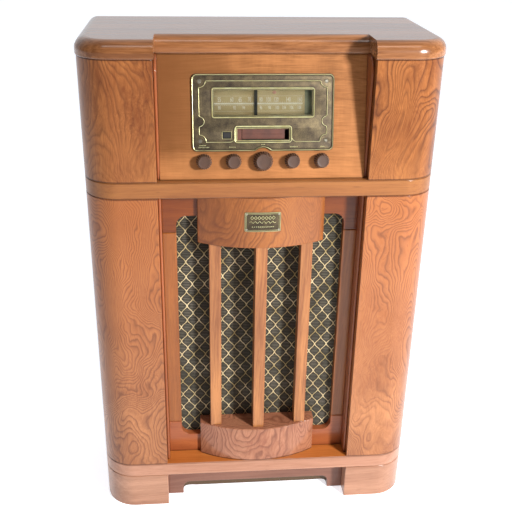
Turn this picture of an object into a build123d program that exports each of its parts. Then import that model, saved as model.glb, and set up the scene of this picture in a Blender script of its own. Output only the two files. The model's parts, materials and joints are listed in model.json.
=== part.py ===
from build123d import *
import os
from math import atan2, cos, pi, sin, sqrt

# Console radio: a floor-standing wooden cabinet with a sloping instrument panel above a
# loudspeaker bay that is closed by cloth, three upright bars and two bowed blocks.
# Millimetres. X runs across the front, Y runs from the front to the back, Z is up.
# The origin is on the floor, in the middle of the plan.

# ---------------------------------------------------------------- driving dimensions
cabinet_width = 610.0
cabinet_depth = 268.0            # pillar front to the back edges of the sides
cabinet_height = 924.0
corner_radius = 60.0             # plan radius of the two front corners
pillar_width = 125.0             # each pillar, on either side of the recess
wall = 18.0                      # side walls, pillar fronts and returns
top_thickness = 29.0
top_overhang = 2.0
nose_radius = 20.0               # rounding of the top board's upper edge
lower_easing = 2.5               # rounding of its lower edge
belt_groove = 1.5                # bevel that makes the dark line along each belt

foot_height = 74.0
belt_height = 28.0               # base board, seen as the lower belt
waist_level = 662.0              # underside of the waist board
waist_thickness = 29.0

panel_foot = 12.0                # recess of the instrument panel at the waist
panel_head = 54.0                # recess of the instrument panel at the top board
panel_board = 15.0
cheek = 5.0                      # thickness of the liners beside the pillars
cheek_recess = 14.5
liner_head = 26.0                # rounding at the head of the two upper liners
return_depth = 80.0              # how far the pillar returns run back

frame_recess = 39.5              # grille frame behind the pillar fronts
frame_board = 15.0
opening_half = 150.5
opening_low = 142.5
opening_high = 615.0
opening_radius = 18.0
rail_joint_low = 175.0
rail_joint_high = 583.5

bow_half = 113.0                 # half width of the bowed blocks
bow_front = 0.5                  # recess at the middle of the bow
bow_end = 32.0                   # recess at its ends
upper_bow_low = 567.0
lower_bow_high = 177.0

bar_width = 21.5
bar_spacing = 82.5
bar_recess = {-1: 21.0, 0: 8.5, 1: 21.0}
bar_back = 44.0

bezel_width = 239.0
bezel_height = 127.8
bezel_middle = 112.3             # up the panel's slope, from its foot
bezel_plate = 2.4
bezel_corner = 9.0
window_width = 164.5
window_height = 41.2
window_middle = 128.9
window_border = 4.5
slot_width = 87.3
slot_height = 18.6
slot_middle = 76.6
slot_border = 5.0
button_x = -61.6
button_width = 12.4
button_height = 9.4
button_middle = 75.4

knob_line = 31.4                 # knob centres, up the slope
knob_spacing = 50.0
knob_diameter = 27.0
tuning_diameter = 34.4
knob_proud = 17.4
knob_gap = 1.0                   # between a knob and the panel
knob_taper = 3.0
shaft_radius = 3.0
running_gap = 0.05
body_gap = 0.3

# ---------------------------------------------------------------- derived places
front = -(cabinet_depth - top_overhang) / 2
back = front + cabinet_depth
half_width = cabinet_width / 2
half_recess = half_width - pillar_width
base_top = foot_height + belt_height
waist_top = waist_level + waist_thickness
top_underside = cabinet_height - top_thickness
notch_back = front + panel_head - top_overhang   # top board's edge above the panel
slope = atan2(panel_head - panel_foot, top_underside - waist_top)
panel_half = half_recess - cheek
panel_normal = Vector(0, -cos(slope), sin(slope))
panel_up = Vector(0, sin(slope), cos(slope))
panel_origin = Vector(0, front + panel_foot, waist_top)

base_align = (Align.CENTER, Align.CENTER, Align.MIN)
sunk_align = (Align.CENTER, Align.CENTER, Align.MAX)
pieces = {}


# ---------------------------------------------------------------- helpers
def on_panel(x=0.0, up=0.0, proud=0.0):
    """Plane parallel to the instrument panel: x across, up its slope, proud of its face."""
    point = panel_origin + Vector(x, 0, 0) + panel_up * up + panel_normal * proud
    return Plane(origin=point, x_dir=(1, 0, 0), z_dir=panel_normal)


def facing(recess):
    """Upright plane that faces the listener, with X across it and Z up it."""
    return Plane(origin=(0, front + recess, 0), x_dir=(1, 0, 0), z_dir=(0, -1, 0))


def slab(low, high, mode=Mode.ADD):
    """Box between two opposite corners."""
    middle = tuple((a + b) / 2 for a, b in zip(low, high))
    with Locations(middle):
        Box(*(abs(b - a) for a, b in zip(low, high)), mode=mode)


def plate(plane, width, height, thickness, mode=Mode.ADD):
    """Rectangular block that stands on a plane."""
    with Locations(plane):
        Box(width, height, thickness, align=base_align, mode=mode)


def rod(plane, radius, length, mode=Mode.ADD):
    """Round bar that stands on a plane."""
    with Locations(plane):
        Cylinder(radius, length, align=base_align, mode=mode)


def plan_outline(level, half, front_edge, radius):
    """Plan of a board that ends at the cabinet's back, with rounded front corners."""
    with BuildSketch(Plane.XY.offset(level)) as plan:
        with Locations((0, (front_edge + back) / 2)):
            Rectangle(2 * half, back - front_edge)
        fillet(plan.vertices().group_by(Axis.Y)[0], radius)
    return plan.sketch


def side_shell(side, level, height, depth):
    """C-shaped wall: pillar front, rounded corner, side, and the return into the recess."""
    extrude(plan_outline(level, half_width, front, corner_radius), amount=height)
    inner = plan_outline(level, half_width - wall, front + wall, corner_radius - wall)
    extrude(inner, amount=height, mode=Mode.SUBTRACT)
    slab(
        (side * half_recess, front - 1, level),
        (-side * (half_width + 1), back + 1, level + height),
        mode=Mode.SUBTRACT,
    )
    slab(
        (side * half_recess, front, level),
        (side * (half_recess + wall), front + depth, level + height),
    )


def bow_radius():
    """Radius of the bowed blocks' fronts."""
    rise = bow_end - bow_front
    return (bow_half**2 + rise**2) / (2 * rise)


def bow_recess(x):
    """Recess of the bowed front at a distance x from the middle."""
    radius = bow_radius()
    return bow_front + radius - sqrt(radius**2 - x**2)


# ---------------------------------------------------------------- cabinet boards
with BuildPart() as top_board:
    extrude(
        plan_outline(
            top_underside,
            half_width + top_overhang,
            front - top_overhang,
            corner_radius + top_overhang,
        ),
        amount=top_thickness,
    )
    upper_rim = top_board.faces().sort_by(Axis.Z)[-1].edges()
    fillet(upper_rim.filter_by_position(Axis.Y, front - wall, back - 1), nose_radius)
    lower_rim = top_board.faces().sort_by(Axis.Z)[0].edges()
    fillet(lower_rim.filter_by_position(Axis.Y, front - wall, back - 1), lower_easing)
    slab(
        (top_overhang - half_recess, front - wall, top_underside),
        (half_recess - top_overhang, notch_back, cabinet_height),
        mode=Mode.SUBTRACT,
    )
    notch_edges = top_board.edges().filter_by(Axis.X).filter_by_position(
        Axis.Y, notch_back - 1, notch_back + 1
    )
    fillet(notch_edges.sort_by(Axis.Z)[-1], nose_radius)
    notch_edges = top_board.edges().filter_by(Axis.X).filter_by_position(
        Axis.Y, notch_back - 1, notch_back + 1
    )
    fillet(notch_edges.sort_by(Axis.Z)[0], lower_easing)
pieces["top_board"] = top_board

cover_recess = 4.0               # rear cover's outer face behind the side edges
cover_board = 4.0
cover_front = back - cover_recess - cover_board
cable_hole_x = 130.0
cable_hole_y = back - 60.0
cable_hole_radius = 15.0

with BuildPart() as waist_board:
    extrude(plan_outline(waist_level, half_width, front, corner_radius), amount=waist_thickness)
    chamfer(waist_board.faces().sort_by(Axis.Z)[-1].edges(), belt_groove)
    chamfer(waist_board.faces().sort_by(Axis.Z)[0].edges(), belt_groove)
    slab(
        (wall - half_width, cover_front, waist_level),
        (half_width - wall, back + 1, waist_top),
        mode=Mode.SUBTRACT,
    )
    with Locations((cable_hole_x, cable_hole_y, waist_level)):
        Cylinder(cable_hole_radius, 3 * waist_thickness, mode=Mode.SUBTRACT)
pieces["waist_board"] = waist_board

with BuildPart() as base_board:
    extrude(plan_outline(foot_height, half_width, front, corner_radius), amount=belt_height)
    chamfer(base_board.faces().sort_by(Axis.Z)[-1].edges(), belt_groove)
    chamfer(base_board.faces().sort_by(Axis.Z)[0].edges(), belt_groove)
pieces["base_board"] = base_board

# ---------------------------------------------------------------- pillars, sides and feet
foot_depth = 62.0
foot_easing = 2.0
for side, word in ((-1, "left"), (1, "right")):
    with BuildPart() as shell:
        side_shell(side, waist_top, top_underside - waist_top, return_depth)
    pieces[f"upper_{word}_side"] = shell

    with BuildPart() as shell:
        side_shell(side, base_top, waist_level - base_top, return_depth)
    pieces[f"lower_{word}_side"] = shell

    with BuildPart() as foot:
        side_shell(side, 0, foot_height, foot_depth)
        fillet(foot.faces().sort_by(Axis.Z)[0].edges(), foot_easing)
    pieces[f"{word}_foot"] = foot

apron_recess = 30.6
apron_board = 12.0
apron_edge = 29.2                # height of the arch
apron_leg = 30.0
apron_corner = 14.0
with BuildPart() as front_apron:
    with BuildSketch(facing(apron_recess)) as face:
        with Locations((0, foot_height / 2)):
            Rectangle(2 * half_recess, foot_height)
        with Locations((0, 0)):
            Rectangle(2 * (half_recess - apron_leg), 2 * apron_edge, mode=Mode.SUBTRACT)
        arch_corners = face.vertices().filter_by_position(Axis.Y, apron_edge - 1, apron_edge + 1)
        fillet(arch_corners, apron_corner)
    extrude(amount=-apron_board)
pieces["front_apron"] = front_apron

backing_edge = 9.5
backing_curve = 34.0
with BuildPart() as apron_backing:
    with BuildSketch(facing(apron_recess + apron_board)) as face:
        with Locations((0, foot_height / 2)):
            Rectangle(2 * half_recess, foot_height)
        reach = half_recess - apron_leg
        with BuildLine():
            Polyline((-reach, -1), (reach, -1), (reach, 0))
            Spline((reach, 0), (reach - backing_curve, backing_edge), tangents=((0, 1), (-1, 0)))
            Line((reach - backing_curve, backing_edge), (backing_curve - reach, backing_edge))
            Spline((backing_curve - reach, backing_edge), (-reach, 0), tangents=((-1, 0), (0, -1)))
            Line((-reach, 0), (-reach, -1))
        make_face(mode=Mode.SUBTRACT)
    extrude(amount=-apron_board)
pieces["apron_backing"] = apron_backing

rear_rail_lift = 12.0
with BuildPart() as rear_rail:
    slab((wall - half_width, back - wall, rear_rail_lift), (half_width - wall, back, foot_height))
pieces["rear_rail"] = rear_rail

# ---------------------------------------------------------------- recess liners
with BuildPart() as cheek_liners:
    liner_front = front + cheek_recess
    for side in (-1, 1):
        near = side * panel_half
        far = side * half_recess
        slab((near, liner_front, base_top), (far, front + return_depth, waist_level))
        slab((near, liner_front, waist_top), (far, front + return_depth, top_underside))
    across = cheek_liners.edges().filter_by(Axis.X).group_by(Axis.Y)[0]
    fillet(across.group_by(Axis.Z)[-1], liner_head)
    fronts = cheek_liners.edges().filter_by_position(
        Axis.Y, liner_front - 1, liner_front + liner_head / 2
    )
    fillet([edge for edge in fronts if abs(edge.tangent_at(0).X) < 0.5], cheek / 2 - 0.1)
pieces["cheek_liners"] = cheek_liners

# ---------------------------------------------------------------- grille frame
joint_bevel = 1.0
with BuildPart() as frame_top_rail:
    with BuildSketch(facing(frame_recess)) as face:
        with Locations((0, (rail_joint_high + waist_level) / 2)):
            Rectangle(2 * panel_half, waist_level - rail_joint_high)
        with Locations((0, rail_joint_high)):
            Rectangle(2 * opening_half, 2 * (opening_high - rail_joint_high), mode=Mode.SUBTRACT)
        corners = face.vertices().filter_by_position(Axis.Y, opening_high - 1, opening_high + 1)
        fillet(corners, opening_radius)
    extrude(amount=-frame_board)
    joint_edges = frame_top_rail.faces().filter_by(Axis.Z).sort_by(Axis.Z)[0:2].edges()
    chamfer(joint_edges.filter_by(Axis.X).group_by(Axis.Y)[0], joint_bevel)
pieces["frame_top_rail"] = frame_top_rail

with BuildPart() as frame_bottom_rail:
    with BuildSketch(facing(frame_recess)) as face:
        with Locations((0, (base_top + rail_joint_low) / 2)):
            Rectangle(2 * panel_half, rail_joint_low - base_top)
        with Locations((0, rail_joint_low)):
            Rectangle(2 * opening_half, 2 * (rail_joint_low - opening_low), mode=Mode.SUBTRACT)
        corners = face.vertices().filter_by_position(Axis.Y, opening_low - 1, opening_low + 1)
        fillet(corners, opening_radius)
    extrude(amount=-frame_board)
    joint_edges = frame_bottom_rail.faces().filter_by(Axis.Z).sort_by(Axis.Z)[-2:].edges()
    chamfer(joint_edges.filter_by(Axis.X).group_by(Axis.Y)[0], joint_bevel)
pieces["frame_bottom_rail"] = frame_bottom_rail

with BuildPart() as frame_stiles:
    for side in (-1, 1):
        slab(
            (side * opening_half, front + frame_recess, rail_joint_low),
            (side * panel_half, front + frame_recess + frame_board, rail_joint_high),
        )
    ends = frame_stiles.edges().filter_by(Axis.X).group_by(Axis.Y)[0]
    chamfer(ends, joint_bevel)
pieces["frame_stiles"] = frame_stiles

cloth_recess = frame_recess + frame_board
cloth = 1.0
cloth_margin = 3.0
baffle_board_thickness = 12.0
baffle_recess = cloth_recess + cloth
speaker_height = 372.0
speaker_opening = 91.0
with BuildPart() as grille_cloth:
    slab(
        (cloth_margin - panel_half, front + cloth_recess, base_top + cloth_margin),
        (panel_half - cloth_margin, front + baffle_recess, waist_level - cloth_margin),
    )
pieces["grille_cloth"] = grille_cloth

with BuildPart() as baffle_board:
    slab(
        (-panel_half, front + baffle_recess, base_top),
        (panel_half, front + baffle_recess + baffle_board_thickness, waist_level),
    )
    with Locations(facing(baffle_recess + baffle_board_thickness)):
        with Locations((0, speaker_height, 0)):
            Cylinder(speaker_opening, 3 * baffle_board_thickness, mode=Mode.SUBTRACT)
pieces["baffle_board"] = baffle_board

# ---------------------------------------------------------------- bowed blocks and bars
def bow_block(low, high):
    """Block with a bowed front that stops at the grille frame."""
    with BuildSketch(Plane.XY.offset(low)) as plan:
        with BuildLine():
            ThreePointArc(
                (-bow_half, front + bow_end),
                (0, front + bow_front),
                (bow_half, front + bow_end),
            )
            Line((bow_half, front + bow_end), (bow_half, front + frame_recess))
            Line((bow_half, front + frame_recess), (-bow_half, front + frame_recess))
            Line((-bow_half, front + frame_recess), (-bow_half, front + bow_end))
        make_face()
    extrude(plan.sketch, amount=high - low)


block_back = front + cloth_recess - body_gap
block_easing = 2.0
bar_easing = 1.5
with BuildPart() as upper_bow:
    bow_block(upper_bow_low, waist_level)
    slab(
        (-bow_half, front + frame_recess, upper_bow_low),
        (bow_half, block_back, opening_high - body_gap),
    )
pieces["upper_bow"] = upper_bow

with BuildPart() as lower_bow:
    bow_block(base_top, lower_bow_high)
    slab(
        (-bow_half, front + frame_recess, opening_low + body_gap),
        (bow_half, block_back, lower_bow_high),
    )
    fillet(lower_bow.faces().sort_by(Axis.Z)[-1].edges().group_by(Axis.Y)[0], block_easing)
pieces["lower_bow"] = lower_bow

with BuildPart() as grille_bars:
    for place, recess in bar_recess.items():
        slab(
            (place * bar_spacing - bar_width / 2, front + recess, lower_bow_high),
            (place * bar_spacing + bar_width / 2, front + bar_back, upper_bow_low),
        )
    front_edges = grille_bars.edges().filter_by(Axis.Z)
    fillet(front_edges.filter_by_position(Axis.Y, front, front + bar_back - 1), bar_easing)
pieces["grille_bars"] = grille_bars

plate_width = 63.0
plate_height = 36.0
plate_middle = 617.0
plate_thickness = 1.2
plate_corner = 2.5
pin_inset = 3.5
pin_offset_x = plate_width / 2 - pin_inset
pin_offset_z = plate_height / 2 - pin_inset
bow_centre = front + bow_front + bow_radius()
with BuildPart() as name_plate:
    with BuildSketch(Plane.XY.offset(plate_middle - plate_height / 2)):
        with Locations((0, bow_centre)):
            Circle(bow_radius() + plate_thickness)
            Circle(bow_radius(), mode=Mode.SUBTRACT)
        with Locations((0, front)):
            Rectangle(plate_width, 4 * wall, mode=Mode.INTERSECT)
    extrude(amount=plate_height)
    fillet(name_plate.edges().filter_by(Axis.Y, tolerance=12), plate_corner)
pieces["name_plate"] = name_plate

# ---------------------------------------------------------------- instrument panel
panel_run = panel_board / cos(slope)
dial_opening_half = 98.0
dial_opening_low = 60.0
dial_opening_high = 161.5
knob_places = {
    "volume": -2 * knob_spacing,
    "tone": -knob_spacing,
    "band": knob_spacing,
    "function": 2 * knob_spacing,
}
screw_x = 106.3
screw_levels = (66.0, 164.0)
screw_radius = 1.75
screw_reach = 11.0               # depth of the screws' holes in the panel
screw_play = 0.2
shaft_hole = 5.5
with BuildPart() as instrument_panel:
    with BuildSketch(Plane.YZ):
        with BuildLine():
            Polyline(
                (front + panel_foot, waist_top),
                (front + panel_head, top_underside),
                (front + panel_head + panel_run, top_underside),
                (front + panel_foot + panel_run, waist_top),
                close=True,
            )
        make_face()
    extrude(amount=panel_half, both=True)
    plate(
        on_panel(0, (dial_opening_low + dial_opening_high) / 2, -2 * panel_board),
        2 * dial_opening_half,
        dial_opening_high - dial_opening_low,
        3 * panel_board,
        mode=Mode.SUBTRACT,
    )
    for x in (0.0, *knob_places.values()):
        rod(on_panel(x, knob_line, -2 * panel_board), shaft_hole, 3 * panel_board,
            mode=Mode.SUBTRACT)
    for x in (-screw_x, screw_x):
        for up in screw_levels:
            rod(on_panel(x, up, -screw_reach), screw_radius, panel_board, mode=Mode.SUBTRACT)
pieces["instrument_panel"] = instrument_panel


# ---------------------------------------------------------------- bezel and dial
rim_width = 3.2
rim_height = 1.4
arch_half = 13.0
arch_rise = 6.2
arch_radius = (arch_half**2 + arch_rise**2) / (2 * arch_rise)
button_opening = (button_width + 1.2, button_height + 1.2)
# Openings of the bezel: x, place up the slope, width, height, border and its rise.
bezel_openings = (
    (0, window_middle, window_width, window_height, window_border, 1.6),
    (0, slot_middle, slot_width, slot_height, slot_border, 1.4),
    (button_x, button_middle, *button_opening, 1.6, 0.8),
)


def bezel_outline(proud, inset):
    """Rounded plate outline with the arch over the tuning knob."""
    with BuildSketch(on_panel(0, bezel_middle, proud)) as outline:
        RectangleRounded(
            bezel_width - 2 * inset, bezel_height - 2 * inset, bezel_corner - inset
        )
        with Locations((0, arch_rise - arch_radius - bezel_height / 2)):
            Circle(arch_radius + inset, mode=Mode.SUBTRACT)
    return outline.sketch


def raised_frame(x, up, width, height, border, rise):
    """Raised border round a rectangular opening in the bezel."""
    with BuildSketch(on_panel(x, up, bezel_plate)) as frame:
        RectangleRounded(width + 2 * border, height + 2 * border, border)
        Rectangle(width, height, mode=Mode.SUBTRACT)
    extrude(frame.sketch, amount=rise)


with BuildPart() as dial_bezel:
    extrude(bezel_outline(0, 0), amount=bezel_plate + rim_height)
    extrude(bezel_outline(bezel_plate, rim_width), amount=2 * rim_height, mode=Mode.SUBTRACT)
    for x, up, width, height, border, rise in bezel_openings:
        raised_frame(x, up, width, height, border, rise)
        plate(on_panel(x, up, -1), width, height, 3 * bezel_plate, mode=Mode.SUBTRACT)
    for x in (-screw_x, screw_x):
        for up in screw_levels:
            rod(on_panel(x, up, -1), screw_radius + screw_play, 2 * bezel_plate, mode=Mode.SUBTRACT)
pieces["dial_bezel"] = dial_bezel

pin_radius = 1.0
pin_length = 8.0
pin_head = 1.9
pin_head_rise = 0.8
screw_length = screw_reach + bezel_plate - 0.5
screw_head = 3.7
screw_head_top = 2.2
screw_head_rise = 1.7
cross_slot = (3.6, 0.7, 1.8)
with BuildPart() as brass_fasteners:
    for x in (-pin_offset_x, pin_offset_x):
        for z in (plate_middle - pin_offset_z, plate_middle + pin_offset_z):
            with Locations(facing(bow_recess(x) - plate_thickness)):
                with Locations((x, z, 0)):
                    Cylinder(pin_radius, pin_length, align=sunk_align)
                    Cone(pin_head, pin_radius, pin_head_rise, align=base_align)
    for x in (-screw_x, screw_x):
        for up in screw_levels:
            rod(on_panel(x, up, bezel_plate - screw_length), screw_radius, screw_length)
            with Locations(on_panel(x, up, bezel_plate)):
                Cone(screw_head, screw_head_top, screw_head_rise, align=base_align)
            with Locations(on_panel(x, up, bezel_plate + screw_head_rise)):
                for turn in (0, 90):
                    with Locations(Rotation(0, 0, turn)):
                        Box(*cross_slot, mode=Mode.SUBTRACT)
pieces["brass_fasteners"] = brass_fasteners
for holder in (name_plate, upper_bow):
    holder.part = holder.part - brass_fasteners.part

glass = 2.0
glass_lap = 5.0                  # how far the glass and the scale reach past the window
scale_lap = 4.0
with BuildPart() as dial_glass:
    plate(
        on_panel(0, window_middle, -glass),
        window_width + 2 * glass_lap,
        window_height + 2 * scale_lap,
        glass,
    )
pieces["dial_glass"] = dial_glass

tray_face = -9.0                 # dial tray's front, behind the panel face
tray_sheet = 1.5
tray_half = 96.5
tray_low = 100.0
tray_high = 156.5
ear_half = 118.0
pulley_x = 88.0
pulley_up = 150.0
cord_plane = -21.0
pulley_radius = 6.0
pulley_width = 4.0
pulley_pin = 1.5
pin_tail = 4.0                   # pulley pins behind the cord
tray_middle = (tray_low + tray_high) / 2
tray_span = tray_high - tray_low
with BuildPart() as dial_tray:
    plate(on_panel(0, tray_middle, tray_face - tray_sheet), 2 * tray_half, tray_span, tray_sheet)
    for side in (-1, 1):
        plate(
            on_panel(side * (tray_half - tray_sheet / 2), tray_middle, -panel_board - tray_sheet),
            tray_sheet,
            tray_span,
            panel_board + tray_sheet + tray_face,
        )
        plate(
            on_panel(side * (ear_half + tray_half - tray_sheet) / 2, tray_middle,
                     -panel_board - tray_sheet),
            ear_half - tray_half + tray_sheet,
            tray_span,
            tray_sheet,
        )
        rod(
            on_panel(side * pulley_x, pulley_up, cord_plane - pin_tail),
            pulley_pin,
            tray_face - tray_sheet - cord_plane + pin_tail,
        )
pieces["dial_tray"] = dial_tray

scale_left = -86.0
scale_right = 71.0
scale_sheet = 1.5
with BuildPart() as dial_scale:
    plate(
        on_panel((scale_left + scale_right) / 2, window_middle, tray_face),
        scale_right - scale_left,
        window_height + 2 * scale_lap,
        scale_sheet,
    )
pieces["dial_scale"] = dial_scale

lamp_x = 90.5
lamp_radius = 3.0
lamp_length = 19.0
lamp_low = window_middle - 12.5
holder_width = 8.0
holder_height = 7.0
holder_depth = 5.5
with BuildPart() as dial_lamps:
    for side in (-1, 1):
        holder_plane = on_panel(side * lamp_x, lamp_low - holder_height / 2, tray_face)
        plate(holder_plane, holder_width, holder_height, holder_depth)
        with Locations(on_panel(side * lamp_x, lamp_low, tray_face + lamp_radius + 0.2)):
            with Locations(Rotation(-90, 0, 0)):
                Cylinder(lamp_radius, lamp_length, align=base_align)
                with Locations((0, 0, lamp_length)):
                    Sphere(lamp_radius)
pieces["dial_lamps"] = dial_lamps

pointer_x = -12.0
pointer_width = 5.4
pointer_face = -4.6
pointer_sheet = 1.0
clip_width = 10.0
clip_height = 4.5
clip_depth = 4.0
bridge_sheet = 1.5               # strip that joins the pointer to the cord
cord_hole = 0.8
cord_up = pulley_up + pulley_radius + 0.7
with BuildPart() as dial_pointer:
    bridge_low = tray_high + body_gap
    bridge_high = bridge_low + bridge_sheet
    bridge_back = cord_plane - clip_depth / 2
    bar_low = window_middle - window_height / 2 - 2.0
    plate(
        on_panel(pointer_x, (bar_low + bridge_high) / 2, pointer_face - pointer_sheet),
        pointer_width,
        bridge_high - bar_low,
        pointer_sheet,
    )
    plate(
        on_panel(pointer_x, (bridge_low + bridge_high) / 2, bridge_back),
        pointer_width,
        bridge_sheet,
        pointer_face - bridge_back,
    )
    plate(
        on_panel(pointer_x, bridge_low - bridge_sheet / 2, bridge_back),
        clip_width,
        clip_height,
        clip_depth,
    )
    with Locations(on_panel(pointer_x, cord_up, cord_plane)):
        with Locations(Rotation(0, 90, 0)):
            Cylinder(cord_hole, 2 * clip_width, mode=Mode.SUBTRACT)
pieces["dial_pointer"] = dial_pointer

pulley_lip = 1.6
groove_width = 2.0
for side, word in ((-1, "left"), (1, "right")):
    with BuildPart() as pulley:
        pulley_plane = on_panel(side * pulley_x, pulley_up, cord_plane - pulley_width / 2)
        rod(pulley_plane, pulley_radius + pulley_lip, pulley_width)
        with Locations(on_panel(side * pulley_x, pulley_up, cord_plane - groove_width / 2)):
            Cylinder(pulley_radius + 2, groove_width, align=base_align, mode=Mode.SUBTRACT)
            Cylinder(pulley_radius, groove_width, align=base_align)
        rod(pulley_plane, pulley_pin + running_gap, pulley_width, mode=Mode.SUBTRACT)
    pieces[f"{word}_dial_pulley"] = pulley

# ---------------------------------------------------------------- cord drive
spindle_radius = 5.0
drum_radius = 42.0
drum_x = 100.0
drum_up = 82.0
guide_radius = 3.0
guide_x = 88.0
cord_radius = 0.4
cord_offset = cord_radius + body_gap
guide_up = knob_line - spindle_radius + guide_radius
# Each turn of the cord: centre, radius of its line, and +1 where it runs anticlockwise.
cord_turns = (
    (-pulley_x, pulley_up, pulley_radius + cord_offset, -1),
    (pulley_x, pulley_up, pulley_radius + cord_offset, -1),
    (drum_x, drum_up, drum_radius + cord_offset, 1),
    (guide_x, guide_up, guide_radius + cord_offset, -1),
    (-guide_x, guide_up, guide_radius + cord_offset, -1),
)


def tangent_run(first, second):
    """End points of the straight cord between two turns."""
    across, rise = second[0] - first[0], second[1] - first[1]
    shift = second[2] * second[3] - first[2] * first[3]
    length = sqrt(across**2 + rise**2 - shift**2)
    heading = atan2(rise, across) - atan2(shift, length)
    left = (-sin(heading), cos(heading))
    return [
        tuple(turn[i] - turn[2] * turn[3] * left[i] for i in (0, 1)) for turn in (first, second)
    ]


def turn_middle(turn, arrive, leave):
    """Point half way round the cord's turn."""
    begin = atan2(arrive[1] - turn[1], arrive[0] - turn[0])
    sweep_angle = (atan2(leave[1] - turn[1], leave[0] - turn[0]) - begin) % (2 * pi)
    if turn[3] < 0:
        sweep_angle -= 2 * pi
    middle = begin + sweep_angle / 2
    return turn[0] + turn[2] * cos(middle), turn[1] + turn[2] * sin(middle)


with BuildPart() as dial_cord:
    runs = []
    for index, turn in enumerate(cord_turns):
        runs.append(tangent_run(turn, cord_turns[(index + 1) % len(cord_turns)]))
    with BuildLine(on_panel(0, 0, cord_plane)) as loop:
        for index, turn in enumerate(cord_turns):
            arrive, leave = runs[index - 1][1], runs[index][0]
            ThreePointArc(arrive, turn_middle(turn, arrive, leave), leave)
            Line(*runs[index])
    with BuildSketch(Plane(loop.line @ 0, z_dir=loop.line % 0)):
        Circle(cord_radius)
    sweep(path=loop.line.wires()[0])
pieces["dial_cord"] = dial_cord

chassis_face = -26.5
chassis_sheet = 1.5
chassis_half = 125.0
chassis_low = 6.5
chassis_high = 56.0
tower_half = 36.0                # raised part that carries the tuning capacitor
tower_high = 112.0
tower_lap = 10.0
bush_radius = 4.5
deck_left = -56.0
deck_right = 54.0
deck_low = 58.0
deck_high = 98.0
deck_front = -28.0
deck_back = -140.0
deck_clearance = 20.0
floor_front = front + 38.0
floor_back = back - 60.0
floor_lap = 11.0
gusset_depth = 57.0
gusset_height = 26.0
stand_radius = 3.0
stand_height = 11.5
stand_inset = 6.0
post_half = 4.0                  # four posts under the tape unit
post_height = 60.0
post_places_x = (-12.0, 46.0)
post_places_y = (front + 70.0, front + 130.0)
guide_length = 9.5
rotor_hole = 5.0
board_x = (-120.0, -24.0)
board_y = (front + 72.0, front + 188.0)
with BuildPart() as chassis:
    plate(
        on_panel(0, (chassis_low + chassis_high) / 2, chassis_face - chassis_sheet),
        2 * chassis_half,
        chassis_high - chassis_low,
        chassis_sheet,
    )
    plate(
        on_panel(drum_x, (chassis_high + tower_high - tower_lap) / 2, chassis_face - chassis_sheet),
        2 * tower_half,
        tower_high - chassis_high + tower_lap,
        chassis_sheet,
    )
    slab(
        (-chassis_half, floor_front, waist_top),
        (chassis_half + floor_lap, floor_back, waist_top + chassis_sheet),
    )
    for side in (-1, 1):
        gusset_front = floor_front + 2 * chassis_sheet
        slab(
            (side * chassis_half - chassis_sheet, gusset_front, waist_top),
            (side * chassis_half + chassis_sheet, gusset_front + gusset_depth,
             waist_top + gusset_height),
        )
        rod(on_panel(side * guide_x, guide_up, chassis_face), guide_radius, guide_length)
    for x in (board_x[0] + stand_inset, board_x[1] - stand_inset):
        for y in (board_y[0] + stand_inset, board_y[1] - stand_inset):
            with Locations((x, y, waist_top + chassis_sheet)):
                Cylinder(stand_radius, stand_height, align=base_align)
    for x in post_places_x:
        for y in post_places_y:
            slab(
                (x - post_half, y - post_half, waist_top),
                (x + post_half, y + post_half, waist_top + post_height),
            )
    plate(
        on_panel((deck_left + deck_right) / 2, deck_low + 50.0, deck_back - deck_clearance),
        deck_right - deck_left - 2.0,
        100.0,
        deck_front - deck_back + deck_clearance - 1.0,
        mode=Mode.SUBTRACT,
    )
    for x in (0.0, *knob_places.values()):
        rod(on_panel(x, knob_line, chassis_face - 3), bush_radius + 0.1, 6.0, mode=Mode.SUBTRACT)
    rod(on_panel(drum_x, drum_up, chassis_face - 3), rotor_hole, 6.0, mode=Mode.SUBTRACT)
pieces["chassis"] = chassis

# ---------------------------------------------------------------- controls and knobs
shaft_back = -38.0
shaft_front = knob_proud - 4.0
chassis_back = chassis_face - chassis_sheet
control_radius = 8.5
control_depth = 11.0
bush_length = 6.0
lug_drop = 11.5
lug = (12.0, 8.0, 1.2)
nut_radius = 7.0
nut_depth = 2.2
with BuildPart() as panel_controls:
    for x in knob_places.values():
        rod(on_panel(x, knob_line, chassis_back - control_depth), control_radius, control_depth)
        rod(on_panel(x, knob_line, chassis_back), bush_radius, bush_length)
        plate(on_panel(x, knob_line - lug_drop, chassis_back - bush_length), *lug)
        rod(on_panel(x, knob_line, shaft_back - 1.0), shaft_radius + running_gap, 30.0,
            mode=Mode.SUBTRACT)
    rod(on_panel(0, knob_line, chassis_back - bush_length + 1.0), bush_radius, bush_length + 1.0)
    with BuildSketch(on_panel(0, knob_line, chassis_back - nut_depth)):
        RegularPolygon(nut_radius, 6)
    extrude(amount=nut_depth)
    rod(on_panel(0, knob_line, shaft_back - 1.0), shaft_radius + running_gap, 30.0,
        mode=Mode.SUBTRACT)
pieces["panel_controls"] = panel_controls


flute_radius = 1.15
flute_length = 10.5
face_easing = 1.2
flat_width = 8.0                 # flat on each shaft for its knob
flat_length = 9.0
spindle_width = 4.0
spindle_lip = 0.6


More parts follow.
